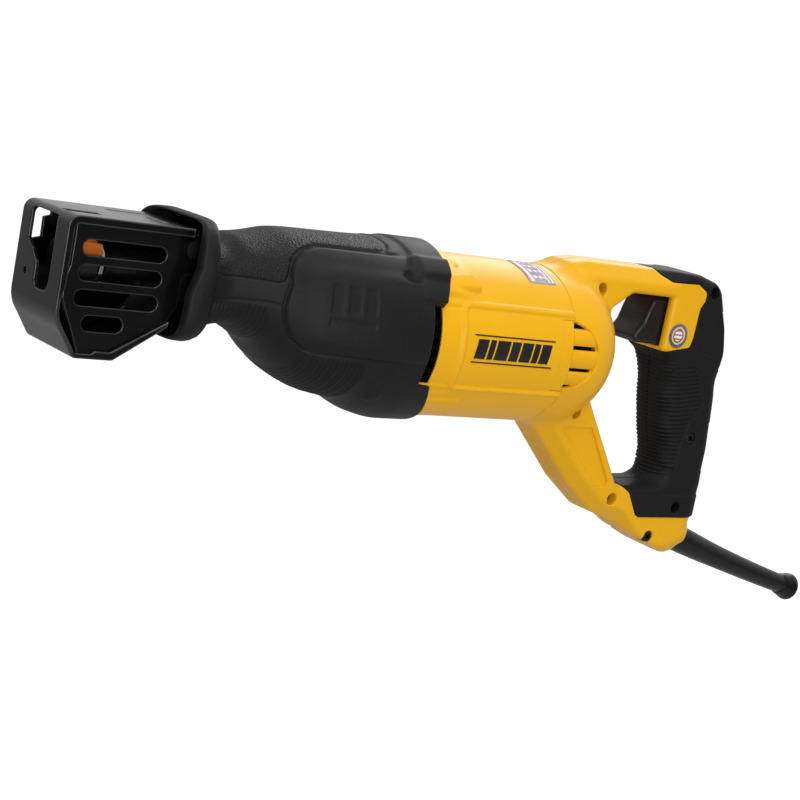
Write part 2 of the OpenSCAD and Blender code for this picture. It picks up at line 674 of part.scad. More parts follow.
// ---------- Cord entry ----------
// Two straight runs: the first tilts down more than the second
module aimed(a, b) {
    step = b - a;
    translate([a.x, 0, a.y]) rotate([0, 90 + atan2(-step.y, step.x), 0]) children();
}
module cord_run(r, reach) { aimed(cord_start, cord_bend) cylinder(h = reach, r = r); }
module strain_relief() {
    first = norm(cord_bend - cord_start);
    second = norm(cord_end - cord_bend);
    color(rubber_black) difference() {
        union() {
            aimed(cord_start, cord_bend) rotate_extrude() polygon([[0, 0.4], [8.2, 0.4], [8.2, 18],
                [7, first], [0, first]]);
            translate([cord_bend.x, 0, cord_bend.y]) sphere(r = 7.5);
            aimed(cord_bend, cord_end) rotate_extrude() polygon([[0, 0], [7, 0], [6.2, second - 12],
                [8.7, second - 2.4], [8.7, second], [0, second]]);
        }
        aimed(cord_start, cord_bend) translate([0, 0, -2]) cylinder(h = first + 2, r = cord_r);
        translate([cord_bend.x, 0, cord_bend.y]) sphere(r = cord_r + 0.6);
        aimed(cord_bend, cord_end) cylinder(h = second + 3, r = cord_r);
    }
}
module cord_clamp() {
    color(dark) difference() {
        box([412.5, -10.5, -118.5], [417.5, 10.5, -114.5]);
        for (side = [-1, 1]) rod_z(-130, -100, 1.5, 415, 7.5 * side);
    }
}
module cord_clamp_screws() {
    color(steel) for (side = [-1, 1]) union() {
        rod_z(-120.5, -114.4, 1.3, 415, 7.5 * side);
        rod_z(-114.4, -112.8, 2.4, 415, 7.5 * side);
    }
}

// ---------- Badges ----------
module side_badges() {
    color(dark) both_sides() intersection() {
        tube_x(217, 272, motor_r + 0.45, motor_r + 0.05, motor_z);
        box([217, -60, -24.6], [272, -20, -10.2]);
    }
}
module top_label() {
    color([0.85, 0.86, 0.88]) intersection() {
        tube_x(262, 280, motor_r + 0.35, motor_r + 0.05, motor_z);
        box([262, -24, 0], [280, -2, 40]);
    }
}
module handle_roundels() {
    color([0.15, 0.2, 0.4]) both_sides() rod_y(-handle_half - 0.35, -handle_half - 0.02, 7, 384.5, -4.5);
}

shoe_frame();
shoe_side_left();
shoe_side_right();
shoe_pivot_pin();
pivot_clips();
nose_boot();
gear_case();
front_bush();
rear_bush();
shaft_seal();
plunger();
yoke();
clamp_body();
clamp_lever();
clamp_pin();
clamp_spring();
clamp_ring();
crank_gear();
crank_pin();
crank_roller();
gear_shaft();
upper_gear_bearing();
lower_gear_bearing();
end_plate();
end_plate_screws();
front_bearing();
rear_bearing();
armature_shaft();
armature_core();
armature_windings();
commutator();
cooling_fan();
fan_baffle();
field_stack();
field_coils();
brush_holders();
carbon_brushes();
brush_springs();
motor_housing();
vent_grilles();
vent_screens();
handle_left();
handle_right();
grip_left();
grip_right();
trigger();
trigger_spring();
switch_body();
handle_screws();
strain_relief();
cord_clamp();
cord_clamp_screws();
side_badges();
top_label();
handle_roundels();
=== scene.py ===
import functools
import math

import bpy
import numpy as np
from mathutils import Matrix, Vector


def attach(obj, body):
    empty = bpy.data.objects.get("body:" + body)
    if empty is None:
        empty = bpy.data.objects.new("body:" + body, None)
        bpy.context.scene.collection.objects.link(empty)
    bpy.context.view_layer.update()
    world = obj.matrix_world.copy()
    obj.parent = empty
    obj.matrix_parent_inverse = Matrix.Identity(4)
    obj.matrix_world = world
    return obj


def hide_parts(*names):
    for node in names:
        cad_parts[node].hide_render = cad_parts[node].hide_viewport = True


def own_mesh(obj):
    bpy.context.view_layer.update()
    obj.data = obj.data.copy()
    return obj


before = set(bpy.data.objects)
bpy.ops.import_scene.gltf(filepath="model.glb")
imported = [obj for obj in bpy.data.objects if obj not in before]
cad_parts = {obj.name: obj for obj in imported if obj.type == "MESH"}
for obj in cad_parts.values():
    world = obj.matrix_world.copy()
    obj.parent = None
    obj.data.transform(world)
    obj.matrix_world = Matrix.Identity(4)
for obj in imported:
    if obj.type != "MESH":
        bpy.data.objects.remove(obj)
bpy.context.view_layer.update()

MM = 0.001
MOTOR_Z, MOTOR_R = -18.75, 42.4  # height of the motor's axis, and radius of its barrel
WALL = 3.0
HANDLE_HALF = 17.0


# ---- Numbers and outlines ----
def smooth(lo, hi, v):
    """Rises from 0 at lo to 1 at hi with no corners."""
    t = np.clip((v - lo) / (hi - lo), 0, 1)
    return t * t * (3 - 2 * t)


def blend_min(a, b, k):
    """Union of two solids with a rounded join of about size k."""
    h = np.clip(0.5 + 0.5 * (b - a) / k, 0, 1)
    return b + (a - b) * h - k * h * (1 - h)


def blend_max(a, b, k):
    """Common part of two solids with a rounded join."""
    return -blend_min(-a, -b, k)


def rounded(points, steps=5):
    """Closed outline of [x, z, corner radius] points as plain [x, z] points with arcs at the corners."""
    pts = np.array(points, float)
    made = []
    for i, (x, z, r) in enumerate(pts):
        here = np.array([x, z])
        if r == 0:
            made.append(here)
            continue
        u = pts[i - 1, :2] - here
        w = pts[(i + 1) % len(pts), :2] - here
        u, w = u / np.linalg.norm(u), w / np.linalg.norm(w)
        half = math.acos(np.clip(u @ w, -1, 1)) / 2
        mid = here + (u + w) / np.linalg.norm(u + w) * r / math.sin(half)
        first, last = here + u * r / math.tan(half) - mid, here + w * r / math.tan(half) - mid
        a = math.atan2(first[1], first[0])
        turn = (math.atan2(last[1], last[0]) - a + 3 * math.pi) % (2 * math.pi) - math.pi
        for k in range(steps + 1):
            b = a + turn * k / steps
            made.append(mid + r * np.array([math.cos(b), math.sin(b)]))
    return np.array(made)


def nearest(u, v, ends):
    """Distance to the nearest of some line segments."""
    best = np.full(u.shape, 1e9)
    for (ax, ay), (bx, by) in ends:
        ex, ey = bx - ax, by - ay
        t = np.clip(((u - ax) * ex + (v - ay) * ey) / (ex * ex + ey * ey + 1e-12), 0, 1)
        best = np.minimum(best, (u - ax - ex * t) ** 2 + (v - ay - ey * t) ** 2)
    return np.sqrt(best)


def outline(points):
    """Signed distance to a closed outline, negative inside, as a function of two coordinates."""
    pts = np.array(points, float)
    ends = list(zip(pts, np.roll(pts, -1, 0)))

    def distance(u, v):
        u, v = np.broadcast_arrays(u, v)
        inside = np.zeros(u.shape, bool)
        for (ax, ay), (bx, by) in ends:
            if ay != by:
                inside ^= ((ay > v) != (by > v)) & (u < (bx - ax) * (v - ay) / (by - ay) + ax)
        return np.where(inside, -1, 1) * nearest(u, v, ends)

    return distance


def path_distance(points):
    """Distance to an open line of points."""
    pts = np.array(points, float)
    return lambda u, v: nearest(*np.broadcast_arrays(u, v), list(zip(pts[:-1], pts[1:])))


def box_field(x, y, z, low, high):
    mid, half = (np.array(low) + high) / 2, (np.array(high) - low) / 2
    flat = np.maximum(abs(x - mid[0]) - half[0], abs(y - mid[1]) - half[1])
    return np.maximum(flat, abs(z - mid[2]) - half[2])


def extrude(flat, side, edge):
    """A flat signed distance given thickness, with its edges rounded to radius edge."""
    a, b = flat + edge, side + edge
    return np.sqrt(np.maximum(a, 0) ** 2 + np.maximum(b, 0) ** 2) + np.minimum(np.maximum(a, b), 0) - edge


# ---- Meshes ----
def add_object(name, data):
    thing = bpy.data.objects.new(name, data)
    bpy.context.scene.collection.objects.link(thing)
    return thing


def put(name, verts, faces, body, paint, slot, nodes=(), normals=None):
    """A new piece from points in millimetres, with its body, finish and the CAD nodes it stands for."""
    mesh = bpy.data.meshes.new(name)
    mesh.from_pydata((np.asarray(verts) * MM).tolist(), [], [list(map(int, f)) for f in faces])
    mesh.validate()
    mesh.polygons.foreach_set("use_smooth", np.ones(len(mesh.polygons), bool))
    if normals is not None:
        mesh.normals_split_custom_set_from_vertices(normals.tolist())
    mesh.update()
    mesh.materials.append(paint)
    piece = add_object(name, mesh)
    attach(piece, body)
    if nodes:
        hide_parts(*nodes)
    return piece


def slope(field, p, step):
    """Gradient of field at points p."""
    g = np.empty_like(p)
    for i in range(3):
        d = step * np.eye(3)[i]
        g[:, i] = field(*(p + d).T) - field(*(p - d).T)
    return g / (2 * step)


def cell_points(f, cells):
    """For each cell that the surface crosses, the middle of its crossings along the cell's edges."""
    total, hits = np.zeros(cells.shape), np.zeros(len(cells))
    for axis, o1, o2 in np.ndindex(3, 2, 2):
        step, a = np.eye(3, dtype=int)[axis], np.roll([0, o1, o2], axis)
        fa, fb = f[tuple((cells + a).T)], f[tuple((cells + a + step).T)]
        cross = (fa < 0) != (fb < 0)
        t = np.where(cross, fa / np.where(cross, fa - fb, 1), 0)
        total += cross[:, None] * (a + t[:, None] * step)
        hits += cross
    return cells + total / hits[:, None]


def cell_quads(s, index):
    """A quad through the four cells round each grid edge that goes from inside to outside."""
    eye, quads = np.eye(3, dtype=int), []
    for axis in range(3):
        u, v = (axis + 1) % 3, (axis + 2) % 3
        p = np.argwhere(np.diff(s, axis=axis))
        p = p[(p[:, u] > 0) & (p[:, v] > 0) & (p[:, u] < s.shape[u] - 1) & (p[:, v] < s.shape[v] - 1)]
        ring = np.stack([index[tuple((p + du * eye[u] + dv * eye[v]).T)]
                         for du, dv in ((-1, -1), (0, -1), (0, 0), (-1, 0))], 1)
        quads.append(np.where(s[tuple(p.T)][:, None], ring, ring[:, ::-1]))
    return np.concatenate(quads)


def net(field, low, high, cell):
    """Points drawn onto the surface where field is 0, the quads between them, and their normals."""
    low = np.array(low, float)
    size = np.ceil((np.array(high) - low) / cell).astype(int) + 1
    ax = [low[i] + cell * np.arange(size[i]) for i in range(3)]
    values = field(ax[0][:, None, None], ax[1][None, :, None], ax[2][None, None, :])
    f = np.array(np.broadcast_to(values, size))
    f[f == 0] = 1e-6
    s = f < 0
    count = np.zeros(size - 1, np.int8)
    for i, j, k in np.ndindex(2, 2, 2):
        count += s[i:size[0] - 1 + i, j:size[1] - 1 + j, k:size[2] - 1 + k]
    active = (count > 0) & (count < 8)
    cells = np.argwhere(active)
    index = np.full(size - 1, -1)
    index[active] = np.arange(len(cells))
    verts = low + cell * cell_points(f, cells)
    for _ in range(2):
        g = slope(field, verts, 0.05)
        move = field(*verts.T)[:, None] * g / np.maximum((g * g).sum(1), 0.3)[:, None]
        verts = verts - np.clip(move, -0.5 * cell, 0.5 * cell)
    g = slope(field, verts, 0.12)
    normals = g / np.maximum(np.linalg.norm(g, axis=1), 1e-9)[:, None]
    return verts, cell_quads(s, index), normals


def net_piece(name, field, low, high, cell, *finish):
    verts, quads, normals = net(field, low, high, cell)
    put(name, verts, quads, *finish, normals)


def net_pair(name, field, low, high, cell, paint, slot):
    """A left half from a field, and its mirror image as the right half."""
    verts, quads, normals = net(field, low, high, cell)
    put(name + "_left_shell", verts, quads, "housing", paint, slot, [name + "_left"], normals)
    flip = np.array([1, -1, 1])
    put(name + "_right_shell", verts * flip, quads[:, ::-1], "housing", paint, slot, [name + "_right"],
        normals * flip)


def grid_faces(rows, cols, close_rows=False):
    """Quads between rows of points that close round their columns."""
    i = np.arange(rows if close_rows else rows - 1)[:, None]
    j = np.arange(cols)[None, :]
    i2, j2 = (i + 1) % rows, (j + 1) % cols
    quads = np.broadcast_arrays(i * cols + j, i2 * cols + j, i2 * cols + j2, i * cols + j2)
    return np.stack(quads, -1).reshape(-1, 4)


def lathe(profile, lobes, around, axes, origin):
    """A closed turned solid from (along, radius) points, and each one's share of six lobes."""
    a = np.linspace(0, 2 * math.pi, around, endpoint=False)
    rows = []
    for (t, r), lobe in zip(profile, lobes):
        rr = r * (1 + lobe * np.cos(6 * a))
        rows.append(np.stack([np.full(around, float(t)), rr * np.cos(a), -rr * np.sin(a)], 1))
    last = (len(profile) - 1) * around
    faces = grid_faces(len(profile), around).tolist()
    faces += [list(range(around)), list(range(last, last + around))[::-1]]
    return np.concatenate(rows) @ np.array(axes, float) + origin, faces


def curve_through(keys):
    """Smooth values between rows of [x, values...], with no overshoot."""
    keys = np.array(keys, float)
    x, y = keys[:, 0], keys[:, 1:]
    h = np.diff(x)[:, None]
    rise = np.diff(y, axis=0) / h
    same = rise[:-1] * rise[1:] > 0
    w1, w2 = 2 * h[1:] + h[:-1], h[1:] + 2 * h[:-1]
    safe = np.where(same, rise[:-1], 1), np.where(same, rise[1:], 1)
    inner = np.where(same, (w1 + w2) / (w1 / safe[0] + w2 / safe[1]), 0)
    m = np.concatenate([rise[:1], inner, rise[-1:]])

    def value(at):
        at = np.clip(np.asarray(at, float), x[0], x[-1])
        k = np.clip(np.searchsorted(x, at) - 1, 0, len(x) - 2)
        t = ((at - x[k]) / h[k, 0])[..., None]
        y0, y1, m0, m1, hk = y[k], y[k + 1], m[k], m[k + 1], h[k]
        return ((2 * t ** 3 - 3 * t ** 2 + 1) * y0 + (t ** 3 - 2 * t ** 2 + t) * hk * m0
                + (3 * t ** 2 - 2 * t ** 3) * y1 + (t ** 3 - t ** 2) * hk * m1)

    return value


def shell(outer, inner, keep):
    """A solid between two grids that close round their columns, without the cells that keep drops."""
    rows, cols = keep.shape[0] + 1, keep.shape[1]
    count = rows * cols
    top = grid_faces(rows, cols).reshape(rows - 1, cols, 4)
    quads = [top[keep], top[keep][:, ::-1] + count]
    padded = np.zeros((rows + 1, cols), bool)
    padded[1:-1] = keep
    sides = ((padded[:-2], 0, 3), (padded[2:], 2, 1),
             (np.roll(keep, 1, 1), 1, 0), (np.roll(keep, -1, 1), 3, 2))
    for beside, a, b in sides:
        edge = top[keep & ~beside]
        quads.append(np.stack([edge[:, a], edge[:, b], edge[:, b] + count, edge[:, a] + count], 1))
    quads = np.concatenate(quads)
    used, quads = np.unique(quads, return_inverse=True)
    verts = np.concatenate([outer.reshape(-1, 3), inner.reshape(-1, 3)])[used]
    return verts, quads.reshape(-1, 4)


# ---- Materials ----
def linear(*rgb):
    """A screen colour of 0 to 255 as linear values."""
    return [((c / 255 + 0.055) / 1.055) ** 2.4 if c > 10 else c / 3294.6 for c in rgb] + [1.0]


def fill(tree, sockets, values):
    """Links the values that are sockets and sets the others."""
    for socket, value in zip(sockets, values):
        if hasattr(value, "is_linked"):
            tree.links.new(value, socket)
        else:
            socket.default_value = value


def link_math(tree, kind, a, b=0.0, clamp=False):
    node = tree.nodes.new("ShaderNodeMath")
    node.operation, node.use_clamp = kind, clamp
    fill(tree, node.inputs, (a, b))
    return node.outputs[0]


def mix_colour(tree, factor, a, b):
    node = tree.nodes.new("ShaderNodeMix")
    node.data_type = "RGBA"
    fill(tree, (node.inputs[0], node.inputs[6], node.inputs[7]), (factor, a, b))
    return node.outputs[2]


def noise(tree, coords, scale, detail=3.0):
    node = tree.nodes.new("ShaderNodeTexNoise")
    node.inputs["Scale"].default_value = scale
    node.inputs["Detail"].default_value = detail
    tree.links.new(coords, node.inputs["Vector"])
    return node.outputs[0]


def grain_bump(tree, op, coords, grain, stipple):
    """A fine grain of (scale, strength), with leather-like cells where stipple is 1."""
    height = noise(tree, coords, grain[0])
    if stipple:
        mask = tree.nodes.new("ShaderNodeAttribute")
        mask.attribute_name = "stipple"
        cells = tree.nodes.new("ShaderNodeTexVoronoi")
        cells.inputs["Scale"].default_value = stipple
        tree.links.new(coords, cells.inputs["Vector"])
        patch = op("MULTIPLY", cells.outputs["Distance"], mask.outputs["Fac"])
        height = op("ADD", height, op("MULTIPLY", patch, 9.0))
    bump = tree.nodes.new("ShaderNodeBump")
    bump.inputs["Distance"].default_value = 0.0004
    bump.inputs["Strength"].default_value = grain[1]
    tree.links.new(height, bump.inputs["Height"])
    return bump.outputs["Normal"]


def paint(name, base, rough=0.45, metal=0.0, coat=0.0, vary=0.2, edge_wear_and_highlight=0.15, edge_wear_and_highlight_colour=None, grain=(1500, 0.03),
          specular=0.5, stipple=None, pattern=None):
    """A procedural finish whose colour drifts slowly, with lighter edges and a fine grain; the lighter
    edges are wear on most finishes and a painted highlight on the black enamel.
    """
    m = bpy.data.materials.new(name)
    m.use_nodes = True
    tree = m.node_tree
    shader = tree.nodes["Principled BSDF"]
    coords = tree.nodes.new("ShaderNodeTexCoord").outputs["Object"]
    op = functools.partial(link_math, tree)
    drift = noise(tree, coords, 45, 4)
    edges = tree.nodes.new("ShaderNodeNewGeometry").outputs["Pointiness"]
    edge = op("MULTIPLY", op("MULTIPLY", op("SUBTRACT", edges, 0.52), 9.0, True), drift)
    low, high = [[min(1.0, c * share) for c in base] + [1.0] for share in (1 - vary, 1 + vary)]
    colour = mix_colour(tree, drift, low, high)
    if pattern:
        colour = pattern(tree, op, split_axes(tree, coords), colour)
    edge_wear_and_highlight_colour = edge_wear_and_highlight_colour or [min(1.0, c * 1.6 + 0.02) for c in base]
    # Lighter colour on sharp edges: wear on most finishes, a painted highlight on the black enamel's rims.
    colour = mix_colour(tree, op("MULTIPLY", edge, edge_wear_and_highlight * 4, True), colour, [*edge_wear_and_highlight_colour, 1.0])
    tree.links.new(colour, shader.inputs["Base Color"])
    gloss = op("MULTIPLY", op("SUBTRACT", drift, 0.5), 0.16)
    tree.links.new(op("ADD", gloss, rough), shader.inputs["Roughness"])
    shader.inputs["Metallic"].default_value = metal
    shader.inputs["Specular IOR Level"].default_value = specular
    shader.inputs["Coat Weight"].default_value = coat
    shader.inputs["Coat Roughness"].default_value = 0.08
    tree.links.new(grain_bump(tree, op, coords, grain, stipple), shader.inputs["Normal"])
    return m


def split_axes(tree, coords):
    parts = tree.nodes.new("ShaderNodeSeparateXYZ")
    tree.links.new(coords, parts.inputs[0])
    return parts.outputs


def lever_painted_shade_pattern(tree, op, at, colour):
    """The lever's upper half stays orange; its lower half is painted near black, standing in for the orange
    tab's lower edge and for painted shade on the lever inside the shoe.
    """
    return mix_colour(tree, op("GREATER_THAN", at[2], 0.0015), [0.006, 0.006, 0.006, 1], colour)


def dress(material, names):
    """CAD nodes that stay get their finish."""
    for name in names.split():
        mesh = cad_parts[name].data
        mesh.materials.clear()
        mesh.materials.append(material)


YELLOW = paint("yellow_shell", [0.82, 0.42, 0.008], 0.34, vary=0.04, edge_wear_and_highlight=0.12,
               edge_wear_and_highlight_colour=[0.88, 0.56, 0.05], grain=(2600, 0.05), specular=0.16)
RUBBER = paint("boot_rubber", [0.0062, 0.0065, 0.0074], 0.52, vary=0.15, edge_wear_and_highlight=0.06, grain=(2200, 0.3),
               specular=0.22, stipple=900)
GRIP = paint("grip_rubber", [0.0085, 0.0088, 0.0095], 0.6, vary=0.15, edge_wear_and_highlight=0.06, grain=(2000, 0.2),
             specular=0.15, stipple=900)
CORD = paint("cord_rubber", [0.005, 0.005, 0.005], 0.3, grain=(700, 0.05), specular=0.25)
# The enamel's grey edge colour is a painted highlight along its rims and slot edges.
ENAMEL = paint("black_enamel", [0.0025, 0.0025, 0.003], 0.2, coat=0.12, vary=0.25, edge_wear_and_highlight=0.32,
               edge_wear_and_highlight_colour=[0.22, 0.22, 0.23], grain=(1100, 0.02), specular=0.3)
TRIGGER = paint("trigger_plastic", [0.008, 0.008, 0.009], 0.33, vary=0.15, grain=(2600, 0.06),
                specular=0.4)
DARK = paint("dark_plastic", [0.004, 0.004, 0.004], 0.5, grain=(1800, 0.08), specular=0.1)
VENT = paint("vent_black", [0.0015, 0.0015, 0.0015], 0.7, edge_wear_and_highlight=0, grain=(1800, 0.08), specular=0.02)
STEEL = paint("bright_steel", [0.52, 0.52, 0.53], 0.3, metal=1.0, vary=0.12, edge_wear_and_highlight=0.2, grain=(3000, 0.05))
SPRING = paint("spring_steel", [0.4, 0.46, 0.42], 0.28, metal=1.0, vary=0.15, grain=(2500, 0.05))
BLACKENED = paint("blackened_steel", [0.01, 0.01, 0.011], 0.38, metal=0.5, vary=0.25, edge_wear_and_highlight=0,
                  grain=(1500, 0.06))
CAST = paint("cast_alloy", [0.3, 0.3, 0.31], 0.55, metal=0.9, vary=0.15, grain=(900, 0.3))
COPPER = paint("copper", [0.62, 0.25, 0.12], 0.35, metal=1.0, grain=(1500, 0.2))
BRONZE = paint("bronze", [0.5, 0.3, 0.12], 0.4, metal=1.0, grain=(1500, 0.1))
LAMINATED = paint("laminated_steel", [0.2, 0.2, 0.21], 0.45, metal=1.0, grain=(2500, 0.3))
ORANGE = paint("orange_lever", [0.66, 0.16, 0.02], 0.38, vary=0.12, edge_wear_and_highlight=0, grain=(2000, 0.08),
               pattern=lever_painted_shade_pattern)
BRASS = paint("gold_pin", [0.7, 0.45, 0.12], 0.3, metal=1.0, vary=0.15, grain=(2000, 0.05))
SCREW = paint("screw_black", [0.012, 0.012, 0.013], 0.28, metal=0.5, edge_wear_and_highlight=0.3, grain=(1500, 0.05))
PRINT = paint("badge_print", [0.004, 0.004, 0.004], 0.35, grain=(2500, 0.04))


# ---- Boot ----
boot_size = curve_through([
    [61.5, -1.5, 34.5, 28.3, 5], [66, -1.5, 35, 28.6, 4.6], [71, -1.8, 32.5, 27, 4],
    [76, -3.6, 25.6, 22, 3.2], [84, -3.2, 24, 19.6, 2.8], [93, -0.8, 26, 21, 2.6],
    [100, -2, 28.2, 23.2, 2.5], [108, -3.3, 30.8, 26.2, 2.4], [118, -6.6, 34, 31.9, 2.35],
    [130, -10, 37.4, 36.1, 2.3], [144, -12.6, 41, 39, 2.25], [160, -13.8, 43.8, 40.6, 2.2],
    [176, -16.7, 45, 44.2, 2.1], [190, -17.8, 45.2, 45.6, 2.05], [215, -17.6, 45.2, 45.7, 2.02]])
BOOT_T = 2.6
BORE_R = 42.66  # the boot's rear end fits over the motor's barrel
SIDE_PANEL = outline([
    [113, 12.6], [115, 15.4], [119.5, 18.4], [124, 20], [128, 20.9], [134, 21.3], [165, 21.6],
    [230, 21.6], [230, -27.2], [142, -27.4], [130, -28], [124, -26.6], [117, -21.8], [112.3, -14.7],
    [110.2, -7.7], [111, -0.3], [112, 3.2], [111.4, 7.4]])
TOP_PANEL = outline([
    [74, 60], [74.2, 14.3], [75, 8.3], [76.2, 4.2], [79.5, 2.7], [96, 3], [106.5, 2.8], [109.8, 4.2],
    [110.7, 7.4], [112.2, 12.9], [114.3, 16.1], [119.2, 19.2], [127.5, 21.7], [165, 22.4], [169, 23],
    [172.5, 25], [174, 60]])
BAND = path_distance([[66, -9.6], [71, -6.8], [83.5, -7.8], [97.5, -6.9], [104.5, -6.8], [110.3, -7.6]])
RIBS_FRONT = outline([
    [66, -12], [71, -8.8], [84, -9.8], [97, -8.9], [103, -9.6], [106.5, -14], [107.5, -22], [106, -32],
    [100, -60], [60, -60]])
RIBS_REAR = outline([
    [125, -31.5], [130, -30.8], [142, -30], [155, -29.6], [158.5, -35], [158, -70], [118, -70],
    [121, -42]])
EMBLEM = [outline(rounded([
    [131.5 + d, 5.6 - s, 1], [137.5 + d, 5.8 - s, 1], [137.2 + d, -6.4 - s, 1], [131.2 + d, -6.6 - s, 1]]))
    for d, s in ((0, 0), (8.6, 0.1), (17.2, 0.2))]
EMBLEM.append(outline(rounded([
    [131.4, -9.4, 0.8], [155.2, -9.6, 0.8], [155, -12.6, 0.8], [131.2, -12.4, 0.8]])))
NOTCH_X, NOTCH_R = 189.0, 45.4
# Angles up from the side between which the rear edge stands forward
NOTCH_TOP, NOTCH_LOW = [math.degrees(math.asin((z - boot_size(190)[0]) / NOTCH_R)) for z in (2.5, -38.5)]


def groove(distance, width, depth):
    """A soft line pressed in along a distance of 0."""
    return -depth * np.exp(-(distance / width) ** 2)


def boot_relief(x, z, turn):
    """How far the rubber stands out at side position x, z; turn is the angle up from the side."""
    panel, grip = SIDE_PANEL(x, z), TOP_PANEL(x, z)
    out = 0.9 * smooth(0.3, -1.6, panel)
    out = out + groove(panel - 0.2, 0.5, 1.0) * smooth(178, 170, x)
    plateau = smooth(15.5, 9.5, z) * smooth(119, 131, x) * smooth(-27, -20, z)
    out = out + 1.1 * plateau * smooth(196, 180, x)
    out = out - 0.35 * smooth(0.2, -0.6, grip) + groove(grip, 0.5, 0.9)
    out = out + groove(BAND(x, z), 0.5, 0.8) * smooth(109.5, 107.5, x)
    for zone, pitch, depth in ((RIBS_FRONT, 2.35, 0.55), (RIBS_REAR, 2.35, 0.6)):
        inside = smooth(0.3, -1.0, zone(x, z))
        out = out + inside * (depth * np.cos(2 * math.pi * x / pitch) - 0.2)
    for bar in EMBLEM:
        out = out - 0.5 * smooth(0.35, -0.35, bar(x, z))
    # Bosses and the scooped hollow by the rear edge
    out = out + 1.7 * smooth(5.6, 2.6, np.hypot(np.maximum(183 - x, 0), z - 17.3))
    out = out + 0.9 * smooth(181, 185, x) * smooth(1.5, 4, z)
    out = out - 1.6 * smooth(1.15, 0.5, np.hypot((x - 177.5) / 6, (z - 12.6) / 2.6))
    out = out + 0.8 * smooth(3.6, 2.4, np.hypot(x - 169.5, z + 46.6))
    return out + 0.5 * smooth(-30, -42, turn) * smooth(160, 168, x)


def rear_edge(turn):
    """Where the boot ends, by the angle up from the side."""
    upper = curve_through([[NOTCH_TOP, 197.4], [48, 202.6], [70, 204.5], [90, 206.4]])(turn)[..., 0]
    lower = curve_through([[-90, 209.5], [-60, 206], [-35, 199.2], [NOTCH_LOW, 196.8]])(turn)[..., 0]
    edge = np.where(turn > 0, upper, lower)
    return np.where((turn < NOTCH_TOP) & (turn > NOTCH_LOW), NOTCH_X, edge)


def ring_points(x, size, theta):
    """Points and outward directions of a squared-off ring."""
    mid, a, b, n = [size[..., k] for k in range(4)]
    c, s = np.cos(theta), np.sin(theta)
    cy, sz = np.sign(c) * abs(c) ** (2 / n), np.sign(s) * abs(s) ** (2 / n)
    p = np.stack([x + 0 * c, -a * cy, mid + b * sz], -1)
    ny, nz = -np.sign(c) * abs(cy) ** (n - 1) / a, np.sign(s) * abs(sz) ** (n - 1) / b
    length = np.hypot(ny, nz) + 1e-9
    return p, np.stack([0 * ny, ny / length, nz / length], -1)


def boot_outside(theta, edge):
    """The boot's outer skin from its hood to its rear edge."""
    turn = np.degrees(np.arcsin(np.sin(theta)))
    fine = 0.52
    x = np.concatenate([np.arange(61.5, 160, fine), np.arange(160, 203.01, 1.0)])[:, None]
    x = np.where(x > 178, 178 + (x - 178) * (edge - 178) / (203 - 178), x)
    p, out = ring_points(x, boot_size(x), theta)
    lift = boot_relief(x + 0 * theta, p[..., 2], turn + 0 * x)
    lift *= smooth(61.5, 76, x) * smooth(0, 2.0, edge - x + 0.9)
    rows = [p + out * lift[..., None]]
    for back, drop in ((0.25, 0.35), (0.0, 1.1)):
        tail, out = ring_points(edge - back + 0.3, boot_size(edge), theta)
        rows.append(tail - drop * out)
    return rows


def boot_inside(theta, edge):
    """The bore on the barrel, then the inner skin forward to the hood's thick lip."""
    rows = []
    for s in np.linspace(0, 1, 5):
        x = edge * (1 - s) + 184 * s + 0.3 * (1 - s)
        rows.append(np.stack([x, -BORE_R * np.cos(theta), MOTOR_Z + BORE_R * np.sin(theta)], -1))
    for at in np.arange(178, 77, -8.0):
        size = boot_size(at) - [0, BOOT_T, BOOT_T, 0]
        rows.append(ring_points(np.full(theta.shape, at), size, theta)[0])
    lip = [[72.5, -2.4, 23, 21, 4], [68, -1.5, 28, 26.4, 5], [61.4, -1.5, 28.2, 26.5, 5.6],
           [60.2, -1.5, 29.4, 26.9, 5.4], [59.8, -1.5, 31.2, 27.5, 5.3], [60.3, -1.5, 33.2, 28, 5.1]]
    for at, *size in lip:
        rows.append(ring_points(np.full(theta.shape, float(at)), np.array(size), theta)[0])
    return rows


def boot():
    steps = 330
    theta = np.radians(np.linspace(-90, 270, steps, endpoint=False))
    extra = [a + d for a in (NOTCH_TOP, NOTCH_LOW) for d in (-0.35, 0.35)]
    theta = np.sort(np.concatenate([theta, np.radians(extra + [180 - a for a in extra])]))[None, :]
    edge = rear_edge(np.degrees(np.arcsin(np.sin(theta))))
    rows = boot_outside(theta, edge) + boot_inside(theta, edge)
    p = np.concatenate([r.reshape(-1, theta.size, 3) for r in rows])
    z, y = p[..., 2], p[..., 1]
    # The hood's lip runs in an S down each side
    shift = 1.6 - 3.4 * smooth(6, -3, z) + 3.2 * smooth(14, 24, z) * smooth(34, 20, abs(y))
    p[..., 0] += shift * smooth(74, 66, p[..., 0])
    flat, faces = p.reshape(-1, 3), grid_faces(p.shape[0], theta.size, close_rows=True)
    piece = put("nose_boot_skin", flat, faces, "housing", RUBBER, "boot_rubber", ["nose_boot"])
    mask = smooth(0.2, -1.2, TOP_PANEL(flat[:, 0], flat[:, 2])) * (flat[:, 0] < 176)
    attribute = piece.data.attributes.new("stipple", "FLOAT", "POINT")
    attribute.data.foreach_set("value", mask.astype(np.float32))


# ---- Motor housing ----
SEAM_X, SEAM_STEP = 286.0, 277.5
SEAM_Z = (-37.0, 1.0)
SLOT_X, SLOT_Z = (189.6, 197.0), (-37.6, 1.6)


def turn_at(z):
    """The barrel's angle up from the side at a height."""
    return math.degrees(math.asin((z - MOTOR_Z) / MOTOR_R))


